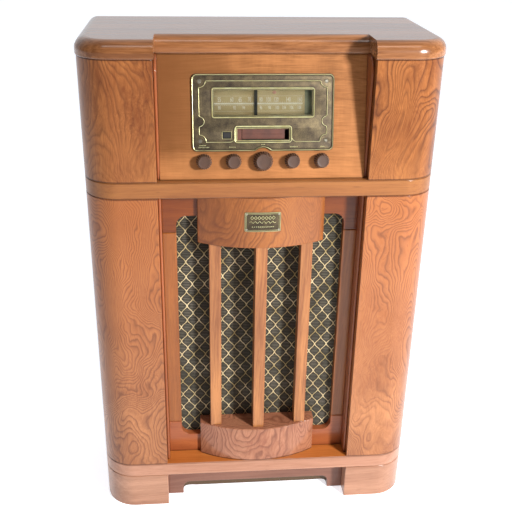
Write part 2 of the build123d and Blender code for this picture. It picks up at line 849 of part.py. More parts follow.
def fluted_knob(x, diameter, flutes):
    """Knob that tapers to a flat face, with flutes round its skirt and a bore behind."""
    base = on_panel(x, knob_line, knob_gap)
    with BuildSketch(base) as skirt:
        Circle(diameter / 2)
    extrude(skirt.sketch, amount=knob_proud - knob_gap, taper=knob_taper)
    fillet(faces().sort_by(Axis(base.origin, base.z_dir))[-1].edges(), face_easing)
    with Locations(on_panel(x, knob_line, 0.0)):
        with PolarLocations(diameter / 2 + 0.1, flutes):
            Cylinder(flute_radius, flute_length, align=base_align, mode=Mode.SUBTRACT)
    rod(on_panel(x, knob_line, 0), shaft_radius + 0.02, shaft_front + 0.2, mode=Mode.SUBTRACT)


for word, x in knob_places.items():
    with BuildPart() as knob:
        fluted_knob(x, knob_diameter, 22)
    pieces[f"{word}_knob"] = knob

    with BuildPart() as shaft:
        rod(on_panel(x, knob_line, shaft_back), shaft_radius, shaft_front - shaft_back)
        plate(
            on_panel(x, knob_line + shaft_radius, shaft_front - flat_length),
            flat_width,
            2.0,
            flat_length,
            mode=Mode.SUBTRACT,
        )
    pieces[f"{word}_shaft"] = shaft

with BuildPart() as tuning_knob:
    fluted_knob(0, tuning_diameter, 28)
pieces["tuning_knob"] = tuning_knob

with BuildPart() as tuning_shaft:
    rod(on_panel(0, knob_line, shaft_back), shaft_radius, shaft_front - shaft_back)
    rod(on_panel(0, knob_line, cord_plane - spindle_width / 2), spindle_radius, spindle_width)
    for edge in (-spindle_width / 2, spindle_width / 2 - spindle_lip):
        rod(on_panel(0, knob_line, cord_plane + edge), spindle_radius + 0.2, spindle_lip)
pieces["tuning_shaft"] = tuning_shaft

# ---------------------------------------------------------------- tuning capacitor
frame_width = 48.0
frame_height = 44.0
frame_depth = 42.0
end_sheet = 2.0
vane_pitch = 3.2
vane_sheet = 0.8
vane_radius = 17.0
vane_pairs = 10
first_vane = chassis_back - 6.0
stator_radius = 21.0
stator_hole = 5.0
tie_rod = 1.5
tie_rod_x = -14.5
tie_rod_up = 14.0
frame_back = chassis_back - frame_depth
with BuildPart() as capacitor_frame:
    for proud in (chassis_back - end_sheet, frame_back):
        plate(on_panel(drum_x, drum_up, proud), frame_width, frame_height, end_sheet)
    plate(
        on_panel(drum_x, drum_up - frame_height / 2 + end_sheet / 2, frame_back),
        frame_width,
        end_sheet,
        frame_depth,
    )
    for up in (-tie_rod_up, tie_rod_up):
        rod(on_panel(drum_x + tie_rod_x, drum_up + up, frame_back), tie_rod, frame_depth)
    for vane in range(vane_pairs):
        with BuildSketch(on_panel(drum_x, drum_up, first_vane - vane * vane_pitch)) as stator:
            Circle(stator_radius)
            Circle(stator_hole, mode=Mode.SUBTRACT)
            with Locations((stator_radius / 2 + 0.5, 0)):
                Rectangle(stator_radius + 1, 2 * stator_radius + 2, mode=Mode.SUBTRACT)
        extrude(stator.sketch, amount=vane_sheet)
    rod(on_panel(drum_x, drum_up, frame_back - 1), shaft_radius + running_gap, frame_depth + 2,
        mode=Mode.SUBTRACT)
pieces["capacitor_frame"] = capacitor_frame

rotor_end = 3.0                  # rotor shaft beyond the frame and the cord
with BuildPart() as capacitor_rotor:
    rod(
        on_panel(drum_x, drum_up, frame_back - rotor_end),
        shaft_radius,
        cord_plane - frame_back + 2 * rotor_end,
    )
    for vane in range(vane_pairs - 1):
        proud = first_vane - (vane + 0.5) * vane_pitch
        with BuildSketch(on_panel(drum_x, drum_up, proud)) as half_disc:
            Circle(vane_radius)
            with Locations((-vane_radius, 0)):
                Rectangle(2 * vane_radius, 2 * vane_radius, mode=Mode.SUBTRACT)
        extrude(half_disc.sketch, amount=vane_sheet)
pieces["capacitor_rotor"] = capacitor_rotor

drum_lip = 1.2
drum_width = 4.0
drum_window = 9.0                # five round windows lighten the drum
drum_window_circle = 24.0
hub_radius = 7.0
hub_length = 7.0
with BuildPart() as dial_drum:
    drum_plane = on_panel(drum_x, drum_up, cord_plane - drum_width / 2)
    rod(drum_plane, drum_radius + drum_lip, drum_width)
    with Locations(on_panel(drum_x, drum_up, cord_plane - groove_width / 2)):
        Cylinder(drum_radius + 2, groove_width, align=base_align, mode=Mode.SUBTRACT)
        Cylinder(drum_radius, groove_width, align=base_align)
    with Locations(drum_plane):
        with PolarLocations(drum_window_circle, 5, start_angle=18):
            Cylinder(drum_window, drum_width, align=base_align, mode=Mode.SUBTRACT)
    rod(on_panel(drum_x, drum_up, cord_plane - drum_width), hub_radius, hub_length)
    rod(on_panel(drum_x, drum_up, cord_plane - drum_width - 1), shaft_radius, hub_length + 2,
        mode=Mode.SUBTRACT)
pieces["dial_drum"] = dial_drum

# ---------------------------------------------------------------- tape unit
slot_left = -slot_width / 2
slot_right = slot_width / 2
flap_left = -35.2
flap_right = 36.8
flap_top = 84.8
flap_bottom = 68.4
flap_sheet = 2.0
flap_pin_proud = -3.6
hinge_pin = 1.0
mouth_left = flap_left - 1.0
mouth_right = slot_right - 0.5
mouth_low = slot_middle - slot_height / 2 + 0.3
mouth_high = slot_middle + slot_height / 2 + 0.8
mouth_width = mouth_right - mouth_left
mouth_height = mouth_high - mouth_low
deck_wall = 1.6
deck_rear = 12.0                 # solid mechanism behind the tape's bay
trim_depth = 3.0
pin_engage = 1.5                 # how far each end of the pin runs into its bearing
barrel_radius = 1.4
rib_height = 1.6
rib_rise = 0.5
rib_inset = 3.0


def hinge_plane(x):
    """Plane that faces +X, on the flap's hinge line."""
    return Plane(origin=on_panel(x, flap_top, flap_pin_proud).origin, z_dir=(1, 0, 0))


with BuildPart() as tape_deck:
    mouth_x, mouth_up = (mouth_left + mouth_right) / 2, (mouth_low + mouth_high) / 2
    deck_up = (deck_low + deck_high) / 2
    plate(
        on_panel((deck_left + deck_right) / 2, deck_up, deck_back),
        deck_right - deck_left,
        deck_high - deck_low,
        deck_front - deck_back,
    )
    plate(
        on_panel(mouth_x, mouth_up, deck_front),
        mouth_width + 2 * deck_wall,
        mouth_height + 2 * deck_wall,
        -deck_front,
    )
    plate(
        on_panel((mouth_left + slot_left) / 2 - 1.0, slot_middle, -trim_depth),
        mouth_left - slot_left + 4.0,
        slot_height + 4.0,
        trim_depth,
    )
    plate(
        on_panel(mouth_x, mouth_up, deck_back + deck_rear),
        mouth_width,
        mouth_height,
        -deck_back,
        mode=Mode.SUBTRACT,
    )
    plate(
        on_panel(mouth_x, deck_up, deck_back + deck_rear),
        mouth_width,
        deck_high - deck_low - 2 * deck_wall,
        deck_front - deck_back - deck_rear - deck_wall,
        mode=Mode.SUBTRACT,
    )
    for x in (mouth_left - 2 * pin_engage, mouth_right - 0.5):
        rod(hinge_plane(x), hinge_pin + running_gap, 3.5, mode=Mode.SUBTRACT)
pieces["tape_deck"] = tape_deck

with BuildPart() as tape_flap:
    flap_x = (flap_left + flap_right) / 2
    flap_width = flap_right - flap_left
    plate(
        on_panel(flap_x, (flap_top + flap_bottom) / 2, flap_pin_proud - flap_sheet / 2),
        flap_width,
        flap_top - flap_bottom,
        flap_sheet,
    )
    rod(hinge_plane(flap_left), barrel_radius, flap_width)
    rod(hinge_plane(mouth_left - pin_engage), hinge_pin, mouth_width + 2 * pin_engage)
    plate(
        on_panel(flap_x + 1.0, slot_middle, flap_pin_proud),
        flap_width - 2 * rib_inset,
        rib_height,
        flap_sheet / 2 + rib_rise,
    )
pieces["tape_flap"] = tape_flap

button_rise = 2.0
button_sink = 0.6
button_flange = 1.5
button_stem = (4.0, 6.0, 22.0)
with BuildPart() as eject_button:
    plate(
        on_panel(button_x, button_middle, -button_sink),
        button_width,
        button_height,
        button_rise + button_sink,
    )
    plate(
        on_panel(button_x, button_middle, -button_rise),
        button_width + 2 * button_flange,
        button_height + 2 * button_flange,
        button_rise - button_sink,
    )
    plate(on_panel(button_x, button_middle, -button_rise - button_stem[2]), *button_stem)
pieces["eject_button"] = eject_button

# ---------------------------------------------------------------- electronics
board_sheet = 1.6
board_level = waist_top + chassis_sheet + stand_height
parts_level = board_level + board_sheet
board_front, board_rear = board_y
# Tall round parts of the circuit board: x, y, radius, height.
cans = (
    (-108.0, board_rear - 22.0, 9.0, 28.0),
    (-86.0, board_rear - 22.0, 9.0, 28.0),
    (-66.0, board_rear - 20.0, 5.0, 11.0),
    (-48.0, board_rear - 20.0, 5.0, 11.0),
    (-34.0, board_front + 30.0, 4.0, 9.0),
)
coil = (9.0, 9.0, 12.0)
chip = (18.0, 8.0, 4.0)
heat_sink = (26.0, 4.0, 26.0)
heat_fin = (1.4, 8.0, 26.0)
with BuildPart() as main_board:
    slab((board_x[0], board_front, board_level), (board_x[1], board_rear, parts_level))
    for index in range(4):
        with Locations((-112.0 + 13.0 * index, board_front + 20.0, parts_level)):
            Box(*coil, align=base_align)
    for x, y, radius, height in cans:
        with Locations((x, y, parts_level)):
            Cylinder(radius, height, align=base_align)
    for index in range(3):
        with Locations((-98.0 + 24.0 * index, board_front + 50.0, parts_level)):
            Box(*chip, align=base_align)
    with Locations((-104.0, board_front + 74.0, parts_level)):
        Box(*heat_sink, align=base_align)
        for index in range(-2, 3):
            with Locations((5.5 * index, 6.0, 0)):
                Box(*heat_fin, align=base_align)
pieces["main_board"] = main_board

transformer_x = 96.0
transformer_y = front + 162.0
core_width = 58.0
core_depth = 30.0
core_height = 48.0
winding_width = 36.0
winding_depth = 48.0
winding_height = 30.0
core_easing = 4.0
with BuildPart() as power_transformer:
    with Locations((transformer_x, transformer_y, waist_top + chassis_sheet)):
        Box(core_width, core_depth, core_height, align=base_align)
        with Locations((0, 0, (core_height - winding_height) / 2)):
            Box(winding_width, winding_depth, winding_height, align=base_align)
    fillet(power_transformer.edges().filter_by(Axis.X).group_by(Axis.Y)[0], core_easing)
    fillet(power_transformer.edges().filter_by(Axis.X).group_by(Axis.Y)[-1], core_easing)
pieces["power_transformer"] = power_transformer

# ---------------------------------------------------------------- loudspeaker
speaker_front = front + baffle_recess + baffle_board_thickness
speaker_axis = Axis((0, 0, speaker_height), (0, 1, 0))
flange_radius = 102.0
flange_sheet = 3.0
basket_sheet = 2.0
basket_depth = 60.0
basket_shoulder = 46.0           # where the cone of the basket meets its back
basket_back_radius = 52.0
basket_hole = 22.0
speaker_screws = 97.5            # circle of the four fixing holes
speaker_screw_hole = 2.2


def behind(depth):
    """Plane behind the baffle that faces the back, centred on the loudspeaker."""
    centre = (0, speaker_front + depth, speaker_height)
    return Plane(origin=centre, x_dir=(1, 0, 0), z_dir=(0, 1, 0))


def half_section(points):
    """Points of a turned piece, from depth and radius to Y and Z."""
    return [(speaker_front + depth, speaker_height + radius) for depth, radius in points]


with BuildPart() as speaker_basket:
    with BuildSketch(Plane.YZ):
        with BuildLine():
            Polyline(
                *half_section((
                    (0, speaker_opening + 1.0),
                    (0, flange_radius),
                    (flange_sheet, flange_radius),
                    (flange_sheet, speaker_opening + 4.0),
                    (basket_shoulder, basket_back_radius),
                    (basket_depth, basket_back_radius),
                    (basket_depth, basket_hole),
                    (basket_depth - basket_sheet, basket_hole),
                    (basket_depth - basket_sheet, basket_back_radius - basket_sheet),
                    (basket_shoulder - 1.0, basket_back_radius - basket_sheet),
                    (flange_sheet, speaker_opening + 1.0),
                )),
                close=True,
            )
        make_face()
    revolve(axis=speaker_axis)
    with Locations(behind(8.0)):
        with PolarLocations(70.0, 4, start_angle=45):
            Box(30.0, 62.0, 32.0, align=base_align, mode=Mode.SUBTRACT)
    with Locations(behind(0)):
        with PolarLocations(speaker_screws, 4, start_angle=45):
            Cylinder(speaker_screw_hole, 10.0, mode=Mode.SUBTRACT)
pieces["speaker_basket"] = speaker_basket

magnet_radius = 42.0
front_plate = 4.0
ring_magnet = 15.0
ring_lap = 4.0
back_plate = 5.0
air_gap_radius = 14.6
pole_radius = 12.0
pole_height = 20.0
with BuildPart() as speaker_magnet:
    with Locations(behind(basket_depth)):
        Cylinder(magnet_radius, front_plate, align=base_align)
        with Locations((0, 0, front_plate)):
            Cylinder(magnet_radius + ring_lap, ring_magnet, align=base_align)
        with Locations((0, 0, front_plate + ring_magnet)):
            Cylinder(magnet_radius, back_plate, align=base_align)
        Cylinder(air_gap_radius, pole_height, align=base_align, mode=Mode.SUBTRACT)
        Cylinder(pole_radius, pole_height, align=base_align)
pieces["speaker_magnet"] = speaker_magnet

cone_depth = 34.0
cone_front = 1.5
coil_outer = 14.2
coil_inner = 13.0
coil_length = 66.0
surround_rise = 4.0
surround_outer = speaker_opening - 1.0
surround_inner = speaker_opening - 9.0
surround_middle = (surround_outer + surround_inner) / 2
dust_cap_edge = 32.0
with BuildPart() as speaker_cone:
    with BuildSketch(Plane.YZ):
        with BuildLine():
            behind_rim, before_rim = cone_front, cone_front - 1.0
            coil_face = cone_front + cone_depth
            ThreePointArc(
                *half_section((
                    (behind_rim, surround_outer),
                    (behind_rim - surround_rise, surround_middle),
                    (behind_rim, surround_inner),
                ))
            )
            Polyline(
                *half_section((
                    (behind_rim, surround_inner),
                    (coil_face, coil_outer),
                    (cone_front + coil_length, coil_outer),
                    (cone_front + coil_length, coil_inner),
                    (coil_face - 4.0, coil_inner),
                    (coil_face - 4.0, 0),
                    (coil_face - 14.0, 0),
                ))
            )
            ThreePointArc(
                *half_section((
                    (coil_face - 14.0, 0),
                    (coil_face - 11.0, dust_cap_edge / 2 + 1.0),
                    (cone_front + 20.5, dust_cap_edge),
                ))
            )
            Line(
                *half_section((
                    (cone_front + 20.5, dust_cap_edge),
                    (before_rim, surround_inner - 0.6),
                ))
            )
            ThreePointArc(
                *half_section((
                    (before_rim, surround_inner - 0.6),
                    (before_rim - surround_rise - 0.2, surround_middle),
                    (before_rim, surround_outer + 0.6),
                ))
            )
            Line(*half_section(((before_rim, surround_outer + 0.6), (behind_rim, surround_outer))))
        make_face()
    revolve(axis=speaker_axis)
pieces["speaker_cone"] = speaker_cone

# ---------------------------------------------------------------- back of the cabinet
cleat = 16.0
with BuildPart() as rear_cleats:
    for side in (-1, 1):
        inner = side * (half_width - wall - cleat)
        outer = side * (half_width - wall)
        slab((inner, cover_front - cleat, base_top), (outer, cover_front, waist_level))
        slab((inner, cover_front - cleat, waist_top), (outer, cover_front, top_underside))
pieces["rear_cleats"] = rear_cleats

inlet_x = 150.0
inlet_height = 745.0
inlet_width = 26.0
inlet_tall = 20.0
cover_screw_heights = (125.0, 390.0, 640.0, 715.0, 870.0)
cover_screw_x = half_width - wall - cleat / 2
cover_screw_hole = 2.0
cover_screw = 1.7
cover_screw_length = 16.0
cover_screw_head = 3.6
cover_screw_head_top = 2.4
cover_screw_head_rise = 2.2
cover_play = 0.5
vent_slot = (48.0, 5.0, 30.0)
vent_pitch_x = 70.0
vent_pitch_z = 14.0
vent_columns = 5
vent_rows = {speaker_height: 9, 835.0: 4}
with BuildPart() as rear_cover:
    slab(
        (wall + cover_play - half_width, cover_front, base_top + cover_play),
        (half_width - wall - cover_play, cover_front + cover_board, top_underside - cover_play),
    )
    cover_face = Plane(origin=(0, back, 0), x_dir=(-1, 0, 0), z_dir=(0, 1, 0))
    for level, rows in vent_rows.items():
        with Locations(cover_face):
            with Locations((0, level, 0)):
                with GridLocations(vent_pitch_x, vent_pitch_z, vent_columns, rows):
                    Box(*vent_slot, mode=Mode.SUBTRACT)
    with Locations((inlet_x, cover_front, inlet_height)):
        Box(inlet_width, 30.0, inlet_tall, mode=Mode.SUBTRACT)
    for side in (-1, 1):
        for height in cover_screw_heights:
            with Locations((side * cover_screw_x, cover_front, height)):
                with Locations(Rotation(90, 0, 0)):
                    Cylinder(cover_screw_hole, 30.0, mode=Mode.SUBTRACT)
pieces["rear_cover"] = rear_cover

with BuildPart() as rear_cover_screws:
    for side in (-1, 1):
        for height in cover_screw_heights:
            seat = Plane(
                origin=(side * cover_screw_x, cover_front + cover_board, height),
                x_dir=(-1, 0, 0),
                z_dir=(0, 1, 0),
            )
            with Locations(seat):
                Cylinder(cover_screw, cover_screw_length, align=sunk_align)
                Cone(cover_screw_head, cover_screw_head_top, cover_screw_head_rise, align=base_align)
                with Locations((0, 0, cover_screw_head_rise - 1.0)):
                    Box(4.0, 0.8, 2.0, align=base_align, mode=Mode.SUBTRACT)
                    Box(0.8, 4.0, 2.0, align=base_align, mode=Mode.SUBTRACT)
pieces["rear_cover_screws"] = rear_cover_screws
rear_cleats.part = rear_cleats.part - rear_cover_screws.part

inlet_lip_x = 4.0
inlet_lip_z = 3.0
inlet_lip = 2.0
inlet_body_depth = 24.0
inlet_play = 0.3
socket_size = (20.0, 10.0, 18.0)
contact_radius = 1.2
contact_length = 14.0
contact_x = 4.0
with BuildPart() as mains_inlet:
    inlet_face = Plane(
        origin=(inlet_x, cover_front + cover_board, inlet_height), x_dir=(-1, 0, 0), z_dir=(0, 1, 0)
    )
    plate(inlet_face, inlet_width + 2 * inlet_lip_x, inlet_tall + 2 * inlet_lip_z, inlet_lip)
    with Locations(inlet_face):
        Box(
            inlet_width - 2 * inlet_play,
            inlet_tall - 2 * inlet_play,
            inlet_body_depth,
            align=sunk_align,
        )
        with Locations((0, 0, inlet_lip)):
            Box(*socket_size, align=sunk_align, mode=Mode.SUBTRACT)
        for x in (-contact_x, contact_x):
            with Locations((x, 0, inlet_lip - socket_size[2] - 0.5)):
                Cylinder(contact_radius, contact_length, align=base_align)
pieces["mains_inlet"] = mains_inlet

# ---------------------------------------------------------------- files
os.makedirs("parts", exist_ok=True)
for name, piece in pieces.items():
    piece.part.label = name
    export_step(piece.part, f"parts/{name}.step")
print(len(pieces), "sub-parts")
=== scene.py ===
import json
from math import atan2, ceil, cos, degrees, pi, radians, sin

import bmesh
import bpy
from mathutils import Matrix, Vector


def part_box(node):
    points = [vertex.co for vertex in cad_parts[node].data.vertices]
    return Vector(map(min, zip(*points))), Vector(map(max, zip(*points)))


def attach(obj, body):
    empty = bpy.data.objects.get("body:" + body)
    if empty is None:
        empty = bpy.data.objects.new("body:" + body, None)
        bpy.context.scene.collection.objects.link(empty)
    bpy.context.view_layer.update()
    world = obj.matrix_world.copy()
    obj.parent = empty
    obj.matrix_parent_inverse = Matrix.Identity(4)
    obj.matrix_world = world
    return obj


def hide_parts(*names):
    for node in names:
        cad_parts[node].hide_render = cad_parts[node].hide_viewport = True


# Console radio: veneered cabinet, brass dial plate, knobs, grille cloth and what is inside.
# Metres throughout, in the frame's axes: X across the front, Y to the back, Z up.

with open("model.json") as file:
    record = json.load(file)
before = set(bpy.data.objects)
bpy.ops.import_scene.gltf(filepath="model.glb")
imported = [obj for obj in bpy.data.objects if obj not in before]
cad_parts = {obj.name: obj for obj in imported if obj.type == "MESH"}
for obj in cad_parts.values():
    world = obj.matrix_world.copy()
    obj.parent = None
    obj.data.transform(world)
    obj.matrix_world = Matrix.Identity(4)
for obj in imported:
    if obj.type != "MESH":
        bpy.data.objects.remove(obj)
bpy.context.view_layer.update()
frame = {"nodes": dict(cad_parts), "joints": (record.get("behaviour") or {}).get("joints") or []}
MM = 0.001
show = bpy.context.scene.collection.objects.link

# ---- places read from the frame
joints = {joint["name"]: joint for joint in frame["joints"]}
cabinet_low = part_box("lower_left_side")[0]
front = cabinet_low.y
inward = Vector(joints["tuning_turn"]["axis"])
panel_normal = -inward
panel_up = Vector((0, panel_normal.z, -panel_normal.y))
panel_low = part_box("instrument_panel")[0]
panel_foot = Vector((0, panel_low.y, panel_low.z))


def panel_place(x, rise, proud=0.0):
    """Matrix of a place on the sloping panel: X across, Y up the slope, Z out of its face."""
    point = panel_foot + Vector((x, 0, 0)) + panel_up * rise + panel_normal * proud
    axes = Matrix((Vector((1, 0, 0)), panel_up, panel_normal)).transposed()
    return Matrix.Translation(point) @ axes.to_4x4()


def rise_of(point):
    """How far up the panel's slope a point lies."""
    return (Vector(point) - panel_foot).dot(panel_up)


knob_line = rise_of(joints["tuning_turn"]["pos_m"])


# ---- camera
CAMERA_PLACE = (-0.1268, -1.3932, 1.1351)
CAMERA_TURN = (5.252, 24.706, 1.006)  # degrees to the right, down, and tilted
CAMERA_LENS = 55.48


def make_camera():
    """Camera at the height and angle from which the cabinet is seen."""
    data = bpy.data.cameras.new("camera")
    camera = bpy.data.objects.new("camera", data)
    show(camera)
    yaw, pitch, roll = (radians(angle) for angle in CAMERA_TURN)
    ahead = Vector((sin(yaw) * cos(pitch), cos(yaw) * cos(pitch), -sin(pitch)))
    level = Vector((cos(yaw), -sin(yaw), 0))
    above = level.cross(ahead)
    right = level * cos(roll) + above * sin(roll)
    top = above * cos(roll) - level * sin(roll)
    axes = Matrix((right, top, -ahead)).transposed()
    camera.matrix_world = Matrix.Translation(CAMERA_PLACE) @ axes.to_4x4()
    data.sensor_width = 36.0
    data.lens = CAMERA_LENS
    data.clip_end = 60.0
    bpy.context.scene.camera = camera


make_camera()


# ---- node materials
JOINT_LEVELS = [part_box(node)[0].z for node in ("lower_left_side", "waist_board", "top_board")]
JOINT_LEVELS.append(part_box("waist_board")[1].z)


def rgb(red, green, blue):
    """Linear colour from screen values of 0 to 255."""
    values = []
    for value in (red, green, blue):
        value /= 255
        values.append(value / 12.92 if value <= 0.04045 else ((value + 0.055) / 1.055) ** 2.4)
    return (*values, 1.0)


def scaled(colour, share):
    """Linear colour made darker or lighter by a factor."""
    return (*(min(1.0, share * value) for value in colour[:3]), 1.0)


class Shade:
    """One node material. Its methods add nodes and return the socket that they end in."""

    def __init__(self, name, **constants):
        self.material = bpy.data.materials.new(name)
        self.material.use_nodes = True
        self.tree = self.material.node_tree
        self.tree.nodes.clear()
        self.shader = self.add("ShaderNodeBsdfPrincipled")
        for key, value in constants.items():
            self.shader.inputs[key.replace("_", " ")].default_value = value
        self.add("ShaderNodeOutputMaterial", {"Surface": self.shader.outputs["BSDF"]})
        self.place = self.add("ShaderNodeTexCoord").outputs["Object"]

    def add(self, kind, inputs=None, **settings):
        """The node itself, its inputs linked or set. They are given by name or by number."""
        node = self.tree.nodes.new(kind)
        for name, value in settings.items():
            setattr(node, name, value)
        for key, value in (inputs or {}).items():
            if isinstance(value, bpy.types.NodeSocket):
                self.tree.links.new(value, node.inputs[key])
            else:
                node.inputs[key].default_value = value
        return node

    def maths(self, operation, *values):
        return self.add("ShaderNodeMath", dict(enumerate(values)), operation=operation).outputs[0]

    def times(self, first, second):
        return self.maths("MULTIPLY", first, second)

    def plus(self, first, second):
        return self.maths("ADD", first, second)

    def weigh(self, *parts):
        """Sum of values, each of them given with its weight."""
        total = None
        for value, weight in parts:
            share = self.times(value, weight)
            total = share if total is None else self.plus(total, share)
        return total

    def vectors(self, operation, first, second):
        inputs = {0: first, 1: second}
        return self.add("ShaderNodeVectorMath", inputs, operation=operation).outputs[0]

    def stretch(self, scale, place=None, shift=(0, 0, 0)):
        """Coordinates scaled along each axis."""
        inputs = {"Vector": place or self.place, "Location": shift, "Scale": scale}
        return self.add("ShaderNodeMapping", inputs).outputs[0]

    def noise(self, place, scale, detail=2.0, roughness=0.5, distortion=0.0, colour=False):
        names = ("Vector", "Scale", "Detail", "Roughness", "Distortion")
        inputs = dict(zip(names, (place, scale, detail, roughness, distortion)))
        return self.add("ShaderNodeTexNoise", inputs).outputs[1 if colour else 0]

    def fit(self, value, low, high, to_low=0.0, to_high=1.0, smooth=False):
        """Value from one range to another, held inside the second."""
        inputs = {0: value, 1: low, 2: high, 3: to_low, 4: to_high}
        kind = "SMOOTHSTEP" if smooth else "LINEAR"
        return self.add("ShaderNodeMapRange", inputs, interpolation_type=kind).outputs[0]

    def ramp(self, value, *stops):
        """Colour by value. Each stop is a position and a colour."""
        node = self.add("ShaderNodeValToRGB", {"Fac": value})
        elements = node.color_ramp.elements
        while len(elements) < len(stops):
            elements.new(0.5)
        for element, (position, colour) in zip(elements, stops):
            element.position = position
            element.color = colour
        return node.outputs[0]

    def mix(self, factor, first, second, blend="MIX"):
        inputs = {0: factor, 6: first, 7: second}
        return self.add("ShaderNodeMix", inputs, data_type="RGBA", blend_type=blend).outputs[2]

    def bump(self, height, distance, strength=1.0):
        inputs = {"Strength": strength, "Distance": distance, "Height": height}
        return self.add("ShaderNodeBump", inputs).outputs[0]

    def relief(self):
        """How far the surface stands up or has worn, as its mesh records it."""
        return self.add("ShaderNodeAttribute", attribute_name="relief").outputs["Fac"]

    def shaded_joint_lines(self, colour, dark):
        """Dark line painted along the joints above and below each belt, on upright faces: painted shade
        in the grooves, and a stained reveal.
        """
        level = self.axis(2)
        nearest = None
        for joint in JOINT_LEVELS:
            gap = self.maths("ABSOLUTE", self.maths("SUBTRACT", level, joint))
            nearest = gap if nearest is None else self.maths("MINIMUM", nearest, gap)
        facing = self.add("ShaderNodeNewGeometry").outputs["Normal"]
        upright = self.fit(self.maths("ABSOLUTE", self.axis(2, facing)), 0.5, 0.8, 1.0, 0.0)
        # Painted groove shade and stain, strongest at each joint level and gone 2.6 mm away.
        groove_shade_and_stain = self.times(self.fit(nearest, 0.9 * MM, 2.6 * MM, 0.85, 0.0), upright)
        return self.mix(groove_shade_and_stain, colour, dark)

    def axis(self, number, place=None):
        """One coordinate on its own."""
        return self.add("ShaderNodeSeparateXYZ", {0: place or self.place}).outputs[number]

    def finish(self, colour, roughness=None, normal=None):
        """Links the results to the shader and returns the material."""
        for key, value in (("Base Color", colour), ("Roughness", roughness), ("Normal", normal)):
            if value is not None:
                self.tree.links.new(value, self.shader.inputs[key])
        return self.material


VARNISH = {"Coat_Weight": 0.55, "Coat_Roughness": 0.16, "Specular_IOR_Level": 0.1}
POLISH = {"Coat_Weight": 0.9, "Coat_Roughness": 0.2, "Specular_IOR_Level": 0.1}
GRAIN_DEPTH = 0.12 * MM


def grain_coordinates(shade, along, shift):
    """Coordinates that run slowly along the grain, X, Y or Z, with a slight wander."""
    base = shade.stretch((1, 1, 1), shift=shift)
    wander = shade.noise(base, 2.2, 1.0, colour=True)
    place = shade.vectors("ADD", base, shade.vectors("MULTIPLY", wander, (0.05, 0.05, 0.05)))
    scale = [1.0, 1.0, 1.0]
    scale["XYZ".index(along)] = 0.045
    return shade.stretch(tuple(scale), place)


def straight_wood(name, light, dark, along, shift, contrast=1.0, gloss=0.34, varnish=VARNISH):
    """Plain sliced timber under semi-gloss varnish: streaks, pores and slow changes of tone."""
    shade = Shade(name, **varnish)
    place = grain_coordinates(shade, along, shift)
    broad = shade.noise(place, 34.0, 3.0, 0.6, 0.4)
    fine = shade.noise(place, 260.0, 4.0, 0.65)
    pores = shade.fit(shade.noise(place, 900.0, 2.0), 0.60, 0.74)
    cloud = shade.noise(shade.place, 5.0, 2.0)
    streak = shade.weigh((broad, 0.62), (fine, 0.38))
    spread = 0.17 / contrast
    colour = shade.mix(shade.fit(streak, 0.5 - spread, 0.5 + spread), dark, light)
    colour = shade.mix(shade.fit(cloud, 0.3, 0.7, 0.0, 0.28), colour, dark)
    deep = scaled(dark, 0.4)
    colour = shade.mix(shade.times(pores, 0.35), colour, deep)
    # Painted shade and stain along the belt joints.
    colour = shade.shaded_joint_lines(colour, deep)
    roughness = shade.fit(fine, 0.2, 0.8, gloss - 0.05, gloss + 0.08)
    normal = shade.bump(shade.maths("SUBTRACT", fine, pores), GRAIN_DEPTH, 0.35)
    return shade.finish(colour, roughness, normal)


def panel_wood(light, dark):
    """Fiddleback veneer: lengthwise grain crossed by soft upright bands and fine ripples.

    Painted shade makes it browner towards the panel's upper left, and painted light makes it paler along
    its foot.
    """
    shade = Shade("panel_wood", **VARNISH)
    foot = panel_low.z
    place = grain_coordinates(shade, "X", (0.1, 0.7, 0.3))
    fine = shade.noise(place, 420.0, 4.0, 0.65)
    broad = shade.noise(place, 60.0, 3.0, 0.6)
    ripple = shade.noise(shade.stretch((1, 0.2, 0.12)), 240.0, 3.0, 0.6, 0.5)
    bands = shade.noise(shade.stretch((1, 0.1, 0.22)), 16.0, 3.0, 0.6)
    cloud = shade.noise(shade.place, 9.0, 3.0, 0.6)
    tone = shade.weigh((fine, 0.42), (broad, 0.2), (ripple, 0.08), (bands, 0.3))
    colour = shade.mix(shade.fit(tone, 0.35, 0.65), dark, light)
    # Painted shade: darker towards the upper left, above the foot.
    left_shade = shade.fit(shade.axis(0), -0.2, 0.06, 0.95, 0.0, smooth=True)
    upward = shade.fit(shade.axis(2), foot, foot + 0.08, 0.0, 1.0, smooth=True)
    colour = shade.mix(shade.times(left_shade, upward), colour, dark)
    # Painted light: paler along the foot.
    foot_light = shade.fit(shade.axis(2), foot, foot + 0.05, 0.4, 0.0)
    colour = shade.mix(foot_light, colour, scaled(light, 1.35))
    colour = shade.mix(shade.fit(cloud, 0.42, 0.62, 0.0, 0.35), colour, dark)
    # Painted shade and stain along the belt joints.
    colour = shade.shaded_joint_lines(colour, scaled(dark, 0.4))
    roughness = shade.fit(fine, 0.2, 0.8, 0.28, 0.42)
    return shade.finish(colour, roughness, shade.bump(fine, GRAIN_DEPTH, 0.3))


